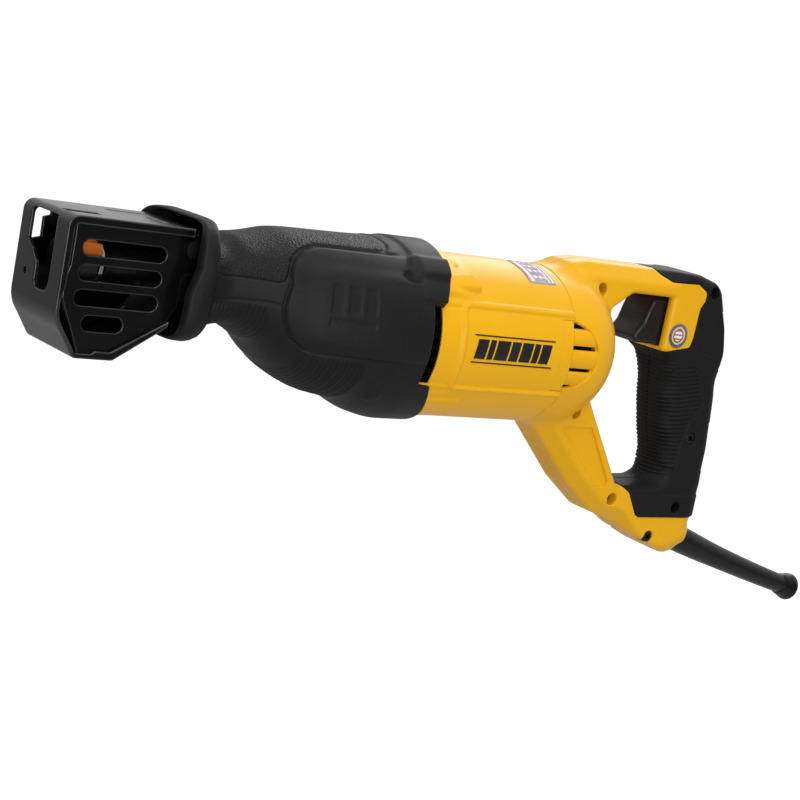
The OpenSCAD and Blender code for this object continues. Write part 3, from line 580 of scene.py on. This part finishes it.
def housing_relief(x, turn):
    """How far the yellow barrel stands out of its plain cylinder; turn is the angle up from the side."""
    arc = MOTOR_R * np.radians(turn)
    top, frame_top, frame_low, low = [MOTOR_R * math.radians(turn_at(z)) for z in (5.0, 1.8, -37.6, -39.8)]
    cone = smooth(225, 199, x)
    out = 3.4 * cone * smooth(top - 1, top + 3, arc) + 1.2 * cone * smooth(low + 1, low - 3, arc)
    # Raised frame round the side panel, with rounded inner corners
    across = np.maximum(abs(arc - (frame_top + frame_low) / 2) - ((frame_top - frame_low) / 2 - 3), 0)
    along = np.maximum(216 - x, 0)
    inner = np.where((across > 0) & (along > 0), np.hypot(across, along), np.maximum(across, along)) - 3
    frame_edge = smooth(-0.3, 1.0, inner) * smooth(4.2, 2.9, inner)
    under_top, over_low = smooth(top + 0.8, top - 0.6, arc), smooth(low - 0.8, low + 0.6, arc)
    out = out + 1.3 * frame_edge * under_top * over_low
    ridges = smooth(frame_top - 0.5, frame_top + 0.8, arc) * under_top
    ridges = ridges + 0.7 * smooth(frame_low + 0.5, frame_low - 0.8, arc) * over_low
    out = out + 0.9 * ridges * smooth(213, 209, x)
    # Long rounded bosses
    for mid, half, end, high in ((64, 3.4, 213, 2.0), (46.6, 4.2, 221, 2.9), (-43.3, 3.9, 221, 1.9)):
        reach = np.hypot(np.maximum(x - end, 0), arc - MOTOR_R * math.radians(mid))
        out = np.maximum(out, high * smooth(half + 0.7, half - 1.1, reach))
    return out


def housing():
    steps = 350
    marks = [turn_at(z) for z in (*SEAM_Z, *SLOT_Z)]
    angles = np.sort(np.concatenate([np.linspace(-90, 270, steps, endpoint=False), marks,
                                     [180 - a for a in marks]]))
    x = np.unique(np.concatenate([np.arange(184, 230, 0.75), np.arange(230, 286, 1.3), [SEAM_X, SEAM_STEP,
                                  SEAM_STEP - 0.5, SEAM_X - 0.5, *SLOT_X]]))
    x = x[np.concatenate([[True], np.diff(x) > 0.04])][:, None]
    theta = np.radians(angles)[None, :]
    turn = np.degrees(np.arcsin(np.clip(np.sin(theta), -1, 1)))
    height = housing_relief(x + 0 * theta, turn + 0 * x) * smooth(184.5, 187, x)
    r = MOTOR_R + height * smooth(287.5, 284, x)
    r = r - 0.35 * smooth(SEAM_X - 0.7, SEAM_X, x)
    outer, inner = [np.stack([x + 0 * theta, -q * np.cos(theta), MOTOR_Z + q * np.sin(theta)], -1)
                    for q in (r, np.full(r.shape, MOTOR_R - WALL))]
    xm = (x[:-1] + x[1:]) / 2
    middle = np.radians((angles + np.append(angles[1:], angles[0] + 360)) / 2)
    zm = (MOTOR_Z + MOTOR_R * np.sin(middle))[None, :]
    gone = (xm > SEAM_STEP) & (zm > SEAM_Z[0]) & (zm < SEAM_Z[1])
    gone |= (xm > SLOT_X[0]) & (xm < SLOT_X[1]) & (zm > SLOT_Z[0]) & (zm < SLOT_Z[1])
    verts, faces = shell(outer, inner, ~gone)
    piece = put("motor_barrel", verts, faces, "housing", YELLOW, "yellow_plastic", ["motor_housing"])
    piece.data.set_sharp_from_angle(angle=math.radians(50))


# ---- Handle ----
ARM_TOP = [[290, 12, 0], [290, 21, 0], [301, 28.2, 10], [313, 30.2, 16]]
GRIP_REAR = [
    [396, 30.8, 20], [414, 26.5, 12], [420.5, 12, 10], [425.5, -6, 30], [433.5, -38, 60],
    [437.5, -70, 60], [437.8, -111.5, 3]]
FOOT = [
    [435.6, -115.3, 1], [437.6, -119, 3], [436.5, -129.5, 8], [422, -136.6, 10], [408, -132, 30],
    [373, -116.4, 14], [353.5, -110.5, 16], [331, -94.5, 16], [293, -58, 0], [294, -40, 0]]
WINDOW = [
    [326, -4, 0], [331, 6, 4], [345, 16.2, 8], [376, 16.2, 0], [376, -13.4, 0], [383.2, -19, 6],
    [386.5, -38, 40], [390.4, -54, 40], [398.6, -78, 14], [398, -92, 6], [363.7, -93.4, 5],
    [346.7, -69.3, 30], [330.3, -46, 0], [318, -30, 0]]
RUBBER_ZONE = [
    [356, 60, 0], [356, 36, 0], [366, 28, 3], [374, 24.8, 3], [393, 25.6, 4], [401, 21.6, 3],
    [400.5, 16, 3], [398, 12, 3], [397.5, -5, 3], [395.9, -11, 2], [383, -13.4, 1], [376, -15.4, 1],
    [368, -16.6, 0], [366, -60, 0], [364, -84, 0], [357.5, -85.9, 0], [366, -92.1, 3], [374, -97, 3],
    [378.6, -104, 2], [382.2, -109.6, 1], [385, -110.9, 1], [460, -110.9, 0], [460, 60, 0]]
in_outline = outline(rounded(ARM_TOP + GRIP_REAR + FOOT, 8))
in_window = outline(rounded(WINDOW, 8))
in_rubber = outline(rounded(RUBBER_ZONE))
HOLE_R, HOLE_FLOOR = 3.55, -8.9
# Place of each screw hole, and where the top of its screw is
OPEN_HOLES = [(319.8, 16.3, -11.5), (319.9, -52.2, -11.5), (361.1, -101.0, -11.5), (396.6, -123.0, -16.4)]
RUBBER_HOLES = [(413.1, -105.1, -11.5), (407.3, 21.7, -11.5), (415.6, -64.0, -14.6)]
POCKET = outline(rounded([
    [315, -60.5, 1.5], [334.5, -60.3, 2], [355, -91, 2], [354, -93.5, 1.5], [345.8, -93.7, 2.5],
    [314.2, -62.9, 1.5]]))
DOME_START, DOME_REACH = 300.0, 36.8
LOUVRES = [(-1.9, 1.3), (-12.9, 1.0), (-24.6, 0.8), (-34.4, 1.1)]  # middle and half height of each gap
VENT_X, VENT_Z, VENT_REACH, VENT_HALF = 284.6, -17.6, 18.6, 17.8  # the louvres' D-shaped recess
VENT_FLOOR = -21  # how near the middle the louvres' cuts come
POCKET_DEPTH = 1.5
PARTING, RUBBER_GAP = 0.14, 0.12  # half gaps between the two halves, and round the grip
TRIGGER_ROOM = ([350, -11.9, -12.2], [393.7, 11.9, 15.7])


def dome_field(x, rr, inset=0.0):
    """The motor's rounded rear cover, at distance rr from the motor's axis."""
    r, reach = MOTOR_R - inset, DOME_REACH - inset
    a, b = rr / r, np.maximum(x - DOME_START, 0) / reach
    k = np.hypot(a, b)
    return k * (k - 1) / np.maximum(np.hypot(a / r, b / reach), 1e-6)


def handle_slab(x, y, z):
    """The arm, brace and grip as one thick slab with rounded edges and a chamfered rear."""
    outer, window = in_outline(x, z), in_window(x, z)
    grip = smooth(-10, -30, z) * smooth(372, 384, x)
    waist = 1.8 * smooth(-20, -36, z) * smooth(-98.5, -86, z) * smooth(372, 384, x)
    side = abs(y) - HANDLE_HALF + waist
    rear = smooth(402, 428, x) * smooth(-10, -30, z)
    edge = 3.2 + 8.8 * grip * smooth(-99, -88, z) + 3.0 * smooth(386, 400, x) * smooth(0, 14, z)
    edge = np.maximum(edge, 3.2 + rear * (8.8 + 3.6 * smooth(-88, -99, z)))
    body = extrude(np.maximum(outer, -window), side, edge)
    facet = -3 + 10.5 * smooth(398, 372, x)
    return blend_max(body, (outer + side + facet) * 0.7071, 1.5)


def handle_body(x, y, z):
    """Both mouldings together: the motor's rear dome, the arm, the brace and the grip."""
    rr = np.hypot(y, z - MOTOR_Z)
    body = blend_min(dome_field(x, rr), handle_slab(x, y, z), 6.0)
    hollow = np.maximum(dome_field(x, rr, WALL), x - 303)
    hollow = np.minimum(hollow, np.maximum(rr - 11.1, x - 310.2))
    body = np.maximum(body, -hollow)
    room = box_field(x, y, z, *TRIGGER_ROOM)
    body = blend_max(body, -room, 0.6)
    return blend_max(body, y + PARTING, 0.7)


def holes(body, x, y, z, spots):
    for hx, hz, _ in spots:
        bore = np.maximum(np.hypot(x - hx, z - hz) - HOLE_R, y - HOLE_FLOOR)
        body = blend_max(body, -bore, 0.7)
    return body


def louvres(body, x, y, z):
    """Convex blades set in a D-shaped recess, with open gaps between them."""
    k = np.hypot((x - VENT_X) / VENT_REACH, (z - VENT_Z) / VENT_HALF)
    vent = np.maximum((k - 1) * 18, VENT_X - x)
    ends = [z0 for z0, _ in LOUVRES]
    depth = 0.5 + 0 * z
    for upper, lower in zip(ends[:-1], ends[1:]):
        t = (z - (upper + lower) / 2) / ((upper - lower) / 2)
        depth = depth + np.where(abs(t) < 1, 1.5 * t ** 2 - 0.6 * t, 0)
    cover = dome_field(x, np.hypot(y, z - MOTOR_Z))
    recess = np.maximum(np.maximum(vent, -(cover + depth)), y - VENT_FLOOR)
    body = blend_max(body, -recess, 0.5)
    for mid, half in LOUVRES:
        gap = np.maximum(np.maximum(abs(z - mid) - half, vent + 0.7), y - VENT_FLOOR)
        body = blend_max(body, -gap, 0.4)
    return body


def yellow_field(x, y, z):
    body = handle_body(x, y, z)
    tongue = box_field(x, abs(y), z, (SEAM_STEP + 0.25, 22, SEAM_Z[0] + 0.25), (290, 60, SEAM_Z[1] - 0.25))
    body = blend_max(body, np.minimum(SEAM_X + 0.25 - x, tongue), 0.6)
    body = blend_max(body, RUBBER_GAP - in_rubber(x, z), 0.7)
    body = holes(louvres(body, x, y, z), x, y, z, OPEN_HOLES)
    pocket = np.maximum(POCKET(x, z), y + HANDLE_HALF - POCKET_DEPTH)
    return blend_max(body, -pocket, 0.6)


RIB_PANEL = outline(rounded([
    [370, -29.5, 1], [387.4, -27.6, 3], [391.4, -23.5, 2], [405.3, -22.1, 2], [410.8, -25.3, 2],
    [418.2, -40.1, 3], [419, -43.1, 2], [416.6, -49.3, 3], [411.6, -55, 3], [410, -60.6, 3],
    [408.2, -71, 3], [408.4, -83, 1], [370, -80, 1]]))
BACKSTRAPS = [outline(rounded(strap)) for strap in (
    [[414.5, 11.3, 1], [408.2, 8.6, 2], [406.9, 3.9, 2], [407.6, -10.1, 2], [409.4, -13.2, 2],
     [416.2, -14.6, 2], [423, -21.5, 2], [440, -24, 0], [434, 12, 0]],
    [[430, -55, 1], [423.4, -61.4, 2], [424.6, -71.9, 2], [425.8, -83.2, 1], [450, -84, 0],
     [450, -55, 0]])]
LEAN = math.radians(8.2)  # how far the grip's ribs lean back


def grip_field(x, y, z):
    body = handle_body(x, y, z)
    body = blend_max(body, in_rubber(x, z) + RUBBER_GAP, 0.7)
    along = x * math.sin(LEAN) - z * math.cos(LEAN)
    side = smooth(-6, -9, y)
    panel = RIB_PANEL(x, z)
    lines = groove(panel, 0.5, 0.55) + 0.35 * smooth(-0.2, -1, panel)
    wave = np.abs((along / 2.6) % 1 - 0.5) * 2.6
    lines = lines + groove(wave, 0.42, 0.75) * smooth(-1.4, -2.2, panel)
    for strap in BACKSTRAPS:
        lines = lines + groove(strap(x, z), 0.45, 0.5) - 0.3 * smooth(0, -0.8, strap(x, z))
    body = body - side * lines
    teeth = smooth(6.5, 4.0, in_window(x, z)) * smooth(380, 384, x)
    teeth = teeth * smooth(-17, -22, z) * smooth(-92, -86, z)
    body = body - 0.28 * teeth * np.cos(2 * math.pi * along / 2.3)
    # The plain band at the grip's foot stands out a little, with a crisp upper edge
    body = body - 0.55 * smooth(-97.6, -98.4, z) * side
    return holes(body, x, y, z, RUBBER_HOLES)


def handle():
    net_pair("handle", yellow_field, (276.5, -43.6, -138.5), (439.5, 0.6, 34), 0.72,
             YELLOW, "yellow_plastic")
    net_pair("grip", grip_field, (338, -18.2, -112.5), (439.5, 0.6, 33), 0.55, GRIP, "grip_rubber")


# ---- Trigger ----
TRIGGER_SIDE = outline(rounded([
    [366.5, 14.6, 3], [363.4, 6, 14], [361.4, -1.5, 12], [356.2, -8.2, 2], [359, -11.7, 2],
    [386, -11.7, 1], [386, 14.6, 1]], 8))
TRIGGER_HALF, TRIGGER_EDGE = 11.5, 2.6
SPRING_Z, SPRING_START, SPRING_LENGTH = 4, 375.0, 18.2


def trigger_field(x, y, z):
    flat = TRIGGER_SIDE(x, z)
    body = extrude(flat, abs(y) - TRIGGER_HALF, TRIGGER_EDGE)
    inset = np.maximum(flat + TRIGGER_EDGE, 366.5 - x + 0.12 * z)
    body = blend_max(body, -np.maximum(inset, TRIGGER_HALF - 0.5 - abs(y)), 0.5)
    bore = np.maximum(np.hypot(y, z - SPRING_Z) - 4.6, SPRING_START - 0.2 - x)
    return np.maximum(body, -bore)


def trigger():
    net_piece("trigger_button", trigger_field, (355, -12.4, -12.6), (387, 12.4, 15.4), 0.45,
              "trigger_button", TRIGGER, "dark_plastic", ["trigger"])


def trigger_spring():
    """A wire coil that runs back from inside the trigger's bore."""
    reach, wire, turns, sides = 3.6, 0.45, 7, 10
    count = turns * 24
    share = (np.arange(count + 1) / count)[:, None]
    a = 2 * math.pi * turns * share
    b = (2 * math.pi * np.arange(sides) / sides)[None, :]
    x = SPRING_START + wire + (SPRING_LENGTH - 2 * wire) * share + wire * np.sin(b)
    out = reach + wire * np.cos(b)
    verts = np.stack([x, out * np.cos(a), SPRING_Z + out * np.sin(a)], -1).reshape(-1, 3)
    faces = grid_faces(count + 1, sides).tolist()
    faces += [list(range(sides)), [count * sides + i for i in reversed(range(sides))]]
    piece = put("trigger_return_spring", verts, faces, "housing", STEEL, "machined_steel",
                ["trigger_spring"])
    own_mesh(piece)


# ---- Shoe ----
SHOE_HALF, SIDE_Y = 23.6, 21.4
in_shoe = outline(rounded([
    [0, 22, 5], [0, -24, 16], [4.7, -30.4, 20], [11.5, -40.5, 3], [31, -40.5, 4], [56, -23.4, 0],
    [56, 0, 0], [62, 0, 0], [62, 22, 0]], 8))
in_shoe_hollow = outline(rounded([
    [2, 20, 3.5], [2, -23.4, 14], [6.6, -29.8, 16], [12.6, -38.5, 2], [30.4, -38.5, 3], [57, -21.6, 0],
    [70, 0, 0], [70, 20, 0]], 8))
in_rim = outline(rounded([
    [3.4, 18.2, 2], [3.4, -9, 3], [2, -15, 3], [2, -23.4, 14], [6.6, -29.8, 16], [12.3, -38.1, 1],
    [20, -38.1, 0.5], [22, -36.7, 0.5], [29.6, -36.7, 3], [57, -20.2, 0], [70, 0, 0],
    [70, 18.2, 0]], 8))
FACE_OPENING = outline(rounded([
    [-12, 19.5, 2], [14, 19.5, 2], [14, 5, 2], [9, 2, 2], [2.4, -4, 3], [2.4, -14.4, 4],
    [-12, -14.4, 5]]))
TOP_SLIT = outline(rounded([[4.4, -12, 1], [20.4, -13, 1], [20.4, -7, 1], [4.4, -5, 1]]))
PLATE_REST = [
    [3.3, -14.5], [5.1, -18.9], [9.9, -28.7], [14.2, -38.5], [29.2, -38.5], [55.9, -20.9], [60, -14],
    [60, 0], [70, 3], [70, 18], [61.8, 20]]
LEFT_PLATE = outline([[5.8, 20], [4.9, 18.6], [4.9, 0], [3.1, -6]] + PLATE_REST)
RIGHT_PLATE = outline([[12, 20], [12, 15.5], [8.6, 14.5], [8.8, 5.5], [3.4, 4]] + PLATE_REST)
SIDE_SLOTS = [(9.5, 50.4, 8.3), (9.2, 49.7, -2.8), (8.9, 49.7, -13.9), (14.3, 34.3, -25.0)]
SLOT_R = 3.5
PIVOT_X, PIVOT_Z, PIVOT_R = 64.0, 12.5, 3.05
PLATE_Y, PLATE_HALF = 20.4, 1.0
PRESSED = 20.5  # the right plate's slots are pressed in as far as this


def shoe_field(x, y, z):
    outer, hollow = in_shoe(x, z), in_shoe_hollow(x, z)
    band = blend_max(extrude(outer, abs(y) - SHOE_HALF, 1.0), -hollow, 0.5)
    rim = extrude(np.maximum(outer, -in_rim(x, z)), abs(y) - SHOE_HALF, 0.6)
    body = np.minimum(band, np.maximum(rim, SIDE_Y - abs(y)))
    body = blend_max(body, -np.maximum(FACE_OPENING(y, z), x - 5), 0.7)
    body = np.maximum(body, -np.maximum(np.hypot(y - 12.8, z + 9.3) - 1.6, x - 5))
    body = blend_max(body, -np.maximum(TOP_SLIT(x, y), 16 - z), 0.5)
    # A shallow embossed patch on the rear of the top
    patch = np.maximum(abs(x - 44) - 9, abs(y) - 13)
    return body + 0.25 * smooth(0.6, -0.2, patch) * (z > 15)


def side_slots(x, z):
    slots = 1e3
    for x0, x1, mid in SIDE_SLOTS:
        slots = np.minimum(slots, np.hypot(x - np.clip(x, x0 + SLOT_R, x1 - SLOT_R), z - mid) - SLOT_R)
    return slots


def pin_hole(x, z):
    return PIVOT_R - np.hypot(x - PIVOT_X, z - PIVOT_Z)


def left_plate(x, y, z):
    flat = np.maximum(np.maximum(LEFT_PLATE(x, z), -side_slots(x, z)), pin_hole(x, z))
    return extrude(flat, abs(y + PLATE_Y) - PLATE_HALF, 0.55)


def right_plate(x, y, z):
    plate = extrude(np.maximum(RIGHT_PLATE(x, z), pin_hole(x, z)), abs(y - PLATE_Y) - PLATE_HALF, 0.55)
    return blend_max(plate, -np.maximum(side_slots(x, z), PRESSED - y), 0.5)


def shoe():
    net_piece("shoe_body", shoe_field, (-0.7, -24.3, -41.3), (62.8, 24.3, 22.7), 0.56,
              "shoe", ENAMEL, "black_steel", ["shoe_frame"])
    for side, field, y in (("left", left_plate, -PLATE_Y), ("right", right_plate, PLATE_Y)):
        net_piece("shoe_plate_" + side, field, (2.6, y - 1.7, -39.2), (70.8, y + 1.7, 20.8), 0.42,
                  "shoe", ENAMEL, "black_steel", ["shoe_side_" + side])


# ---- Small parts ----
def screws():
    head, seat, tip = 3.35, -9.05, 12.0
    lobes = [0, 0.14, 0.14] + [0] * 7
    axes = [[0, 1, 0], [0, 0, 1], [1, 0, 0]]
    verts, faces = [], []
    for k, (sx, sz, top) in enumerate(OPEN_HOLES + RUBBER_HOLES):
        profile = [(1.6, 0.01), (1.6, 1.55), (0.0, 1.7), (0.0, 2.8), (0.3, 3.2), (0.6, head),
                   (seat - top, head), (seat - top, 2.0), (tip - top, 2.0), (tip - top, 0.01)]
        v, f = lathe(profile, lobes, 48, axes, [sx, top, sz])
        faces += [[i + k * len(v) for i in face] for face in f]
        verts.append(v)
    piece = put("handle_screw_set", np.concatenate(verts), faces, "housing", SCREW, "blackened_steel",
                ["handle_screws"])
    piece.data.set_sharp_from_angle(angle=math.radians(40))


def cord_guard():
    """The tapered guard that the cord leaves through, bent in one smooth curve."""
    start, bend, end = [np.array(p) for p in ((424, -123.9), (478.5, -142.8), (551, -161.7))]
    radius = curve_through([[0, 8.2], [0.16, 8.1], [0.45, 7.0], [0.8, 6.2], [0.924, 6.0], [0.93, 6.5],
                            [0.96, 7.5], [0.985, 8.45], [0.996, 8.6], [1, 8.35]])
    around, t = 56, np.concatenate([np.linspace(0, 0.9, 50), np.linspace(0.908, 1, 47)])
    a = np.linspace(0, 2 * math.pi, around, endpoint=False)
    path = [(1 - s) ** 2 * start + 2 * s * (1 - s) * bend + s ** 2 * end for s in t]
    run = [(1 - s) * (bend - start) + s * (end - bend) for s in t]

    def ring(k, r):
        along = run[k] / np.linalg.norm(run[k])
        up = np.array([-along[1], along[0]])
        lift = r * np.sin(a)
        return np.stack([path[k][0] + up[0] * lift, -r * np.cos(a), path[k][1] + up[1] * lift], 1)

    rows = [ring(k, radius(s)[0]) for k, s in enumerate(t)]
    last = len(t) - 1
    rows += [ring(last, r) for r in (8.1, 6.2, 5.0)] + [ring(k, 4.4) for k in range(last, -1, -4)]
    verts = np.concatenate(rows)
    piece = put("cord_guard", verts, grid_faces(len(rows), around, close_rows=True), "housing", CORD,
                "cord_rubber", ["strain_relief"])
    piece.data.set_sharp_from_angle(angle=math.radians(32))


def wrapped(points, r, thick):
    """A closed outline of x and height, wrapped to radius r round the barrel and given thickness."""
    pts = np.array(points, float)
    count = len(pts)
    a = np.arcsin((pts[:, 1] - MOTOR_Z) / r)
    rows = [np.stack([pts[:, 0], -q * np.cos(a), MOTOR_Z + q * np.sin(a)], 1) for q in (r + thick, r)]
    walls = [[(j + 1) % count, j, j + count, (j + 1) % count + count] for j in range(count)]
    return np.concatenate(rows), [list(range(count))] + walls + [list(range(2 * count - 1, count - 1, -1))]


def badge_parts():
    """Corners of each line and slanted block, and the strips it is cut into."""
    parts = [(([218, high], [271.5, high], [271.5, low], [218, low]), 1)
             for low, high in ((-24.6, -23.9), (-10.9, -10.2))]
    x = 219.0
    for wide in (7.5, 4.2, 9.0, 6.4, 7.8, 4.4, 7.0):
        parts.append((([x + 1.6, -12.4], [x + wide + 1.0, -12.4], [x + wide - 0.6, -22.4], [x, -22.4]), 6))
        x += wide + 0.55
    return parts


def badge():
    """Plain slanted blocks between two lines, with no lettering."""
    for side, name in ((1, "left"), (-1, "right")):
        verts, faces, count = [], [], 0
        for corners, strips in badge_parts():
            a, b, c, d = np.array(corners)
            for k in range(strips):
                s, t = k / strips, (k + 1) / strips
                v, f = wrapped([a + (d - a) * t, b + (c - b) * t, b + (c - b) * s, a + (d - a) * s],
                               MOTOR_R + 0.05, 0.22)
                faces += [[i + count for i in face][::side] for face in f]
                verts.append(v)
                count += len(v)
        piece = put("badge_" + name, np.concatenate(verts) * [1, side, 1], faces, "housing", PRINT, "badge",
                    ["side_badges"] if side == 1 else ())
        piece.data.polygons.foreach_set("use_smooth", np.zeros(len(piece.data.polygons), bool))


ROUNDEL_AT = (0.3845, -0.0045)  # in metres, as the shader has them
ROUNDEL_RINGS = (0.0032, 0.0041, 0.0051)
LABEL_X, LABEL_Y, LABEL_LONG, LABEL_WIDE = 0.262, -0.024, 0.018, 0.021


def ring_pattern(tree, op, at, colour):
    """Navy rim, gold ring, pale middle with two red bars, round the middle of the handle's side sticker."""
    dx, dz = op("SUBTRACT", at[0], ROUNDEL_AT[0]), op("SUBTRACT", at[2], ROUNDEL_AT[1])
    r = op("SQRT", op("ADD", op("MULTIPLY", dx, dx), op("MULTIPLY", dz, dz)))
    navy, gold, pale = linear(28, 36, 92), linear(236, 190, 60), linear(226, 228, 232)
    bars = op("LESS_THAN", op("FRACT", op("MULTIPLY", dz, 420.0)), 0.4)
    out = mix_colour(tree, bars, pale, linear(190, 50, 60))
    for edge, shade in zip(ROUNDEL_RINGS, (navy, gold, navy)):
        out = mix_colour(tree, op("GREATER_THAN", r, edge), out, shade)
    return out


def stripe_pattern(tree, op, at, colour):
    """Navy and red bars on a pale ground with a navy border line."""
    u = op("MULTIPLY", op("SUBTRACT", at[0], LABEL_X), 1 / LABEL_LONG)
    v = op("MULTIPLY", op("SUBTRACT", at[1], LABEL_Y), 1 / LABEL_WIDE)
    navy = linear(24, 30, 84)
    red = op("LESS_THAN", op("FRACT", op("MULTIPLY", u, 5.0)), 0.45)
    out = mix_colour(tree, red, linear(215, 215, 225), linear(185, 40, 60))
    middle = op("LESS_THAN", op("ABSOLUTE", op("SUBTRACT", u, 0.5)), 0.26)
    inner = op("LESS_THAN", op("FRACT", op("MULTIPLY", v, 4.0)), 0.62)
    out = mix_colour(tree, op("MULTIPLY", middle, inner), out, navy)
    for value in (u, v):
        rim = op("GREATER_THAN", op("ABSOLUTE", op("SUBTRACT", value, 0.5)), 0.46)
        out = mix_colour(tree, rim, out, navy)
    return out


def dress_frame():
    """The CAD pieces whose shapes stay get their finishes."""
    dress(STEEL, "yoke crank_gear crank_pin crank_roller gear_shaft upper_gear_bearing lower_gear_bearing")
    dress(STEEL, "end_plate_screws cord_clamp_screws front_bearing rear_bearing")
    dress(STEEL, "armature_shaft brush_springs")
    dress(SPRING, "clamp_spring")
    dress(BLACKENED, "plunger clamp_ring clamp_body shoe_pivot_pin pivot_clips gear_case")
    dress(ORANGE, "clamp_lever")
    dress(BRASS, "clamp_pin")
    dress(CAST, "end_plate")
    dress(BRONZE, "front_bush rear_bush brush_holders")
    dress(COPPER, "armature_windings field_coils commutator")
    dress(LAMINATED, "armature_core field_stack")
    dress(DARK, "cooling_fan fan_baffle switch_body cord_clamp carbon_brushes shaft_seal")
    dress(VENT, "vent_grilles vent_screens")
    white, plain = [0.8, 0.8, 0.8], {"vary": 0.03, "grain": (2500, 0.03)}
    dress(paint("label_print", white, 0.6, specular=0.1, pattern=stripe_pattern, **plain), "top_label")
    dress(paint("roundel_print", white, 0.35, pattern=ring_pattern, **plain), "handle_roundels")


# ---- Camera, light and floor ----
CAMERA_AT = (-338.21, -703.48, 98.41)
CAMERA_TURN, CAMERA_RISE, CAMERA_ROLL = (math.radians(v) for v in (-38.02, 9.75, 11.10))
LENS, SENSOR = 79.12, 36.0


def camera():
    a, e, r = CAMERA_TURN, CAMERA_RISE, CAMERA_ROLL
    back = Vector((math.sin(a) * math.cos(e), -math.cos(a) * math.cos(e), math.sin(e)))
    right = Vector((math.cos(a), math.sin(a), 0))
    up = back.cross(right)
    x = right * math.cos(r) + up * math.sin(r)
    y = up * math.cos(r) - right * math.sin(r)
    data = bpy.data.cameras.new("camera")
    data.lens, data.sensor_width = LENS, SENSOR
    data.clip_start, data.clip_end = 0.02, 50
    eye = add_object("camera", data)
    eye.matrix_world = Matrix((x, y, back)).transposed().to_4x4()
    eye.location = [v * MM for v in CAMERA_AT]
    bpy.context.scene.camera = eye


def softbox(name, at, aim, size, power):
    data = bpy.data.lights.new(name, "AREA")
    data.shape, data.size, data.size_y = "RECTANGLE", size[0], size[1]
    data.energy = power
    lamp = add_object(name, data)
    lamp.location = at
    lamp.rotation_mode = "QUATERNION"
    lamp.rotation_quaternion = (Vector(aim) - Vector(at)).to_track_quat("-Z", "Y")


def studio():
    """A white room, bright overhead and behind the object, with three soft lights."""
    scene = bpy.context.scene
    scene.view_settings.view_transform = "Standard"
    world = bpy.data.worlds.new("studio")
    scene.world = world
    world.use_nodes = True
    tree = world.node_tree
    op = functools.partial(link_math, tree)
    x, y, z = split_axes(tree, tree.nodes.new("ShaderNodeTexCoord").outputs["Generated"])
    level = op("ADD", op("MULTIPLY", x, 0.45), op("MULTIPLY", y, 0.5))
    toward = op("ADD", level, op("MULTIPLY", z, 0.75))
    glow = op("MULTIPLY", op("ADD", toward, 0.15), 1.3, True)
    plain = tree.nodes["Background"]
    plain.inputs[0].default_value = (1, 1, 1, 1)
    tree.links.new(op("ADD", op("MULTIPLY", glow, 0.55), 0.12), plain.inputs[1])
    shown = tree.nodes.new("ShaderNodeBackground")
    shown.inputs[0].default_value, shown.inputs[1].default_value = (1, 1, 1, 1), 1.05
    mixer, rays = tree.nodes.new("ShaderNodeMixShader"), tree.nodes.new("ShaderNodeLightPath")
    tree.links.new(rays.outputs["Is Camera Ray"], mixer.inputs[0])
    tree.links.new(plain.outputs[0], mixer.inputs[1])
    tree.links.new(shown.outputs[0], mixer.inputs[2])
    tree.links.new(mixer.outputs[0], tree.nodes["World Output"].inputs[0])
    middle = (0.26, 0, -0.03)
    softbox("key", (0.0, -0.55, 1.15), middle, (1.3, 0.9), 9.8)
    softbox("front", (-0.35, -1.5, 0.05), middle, (1.0, 0.8), 13.5)
    softbox("rim", (1.2, 0.7, 0.8), (0.4, 0, -0.05), (0.7, 0.9), 7)


def floor():
    size, level = 1.35, -0.36
    corners = [(-size, -size, level), (size, -size, level), (size, size, level), (-size, size, level)]
    mesh = bpy.data.meshes.new("floor")
    mesh.from_pydata(corners, [], [[0, 1, 2, 3]])
    paper = paint("floor_paper", [0.42, 0.42, 0.42], 0.9, vary=0.01, edge_wear_and_highlight=0, grain=(60, 0.02), specular=0)
    tree = paper.node_tree
    shader = tree.nodes["Principled BSDF"]
    shader.inputs["Emission Color"].default_value = (1, 1, 1, 1)
    seen = tree.nodes.new("ShaderNodeLightPath").outputs["Is Camera Ray"]
    glow = link_math(tree, "ADD", link_math(tree, "MULTIPLY", seen, 0.66), 0.06)
    tree.links.new(glow, shader.inputs["Emission Strength"])
    mesh.materials.append(paper)
    add_object("floor", mesh)


camera()
studio()
floor()
boot()
housing()
handle()
trigger()
trigger_spring()
shoe()
screws()
cord_guard()
badge()
dress_frame()
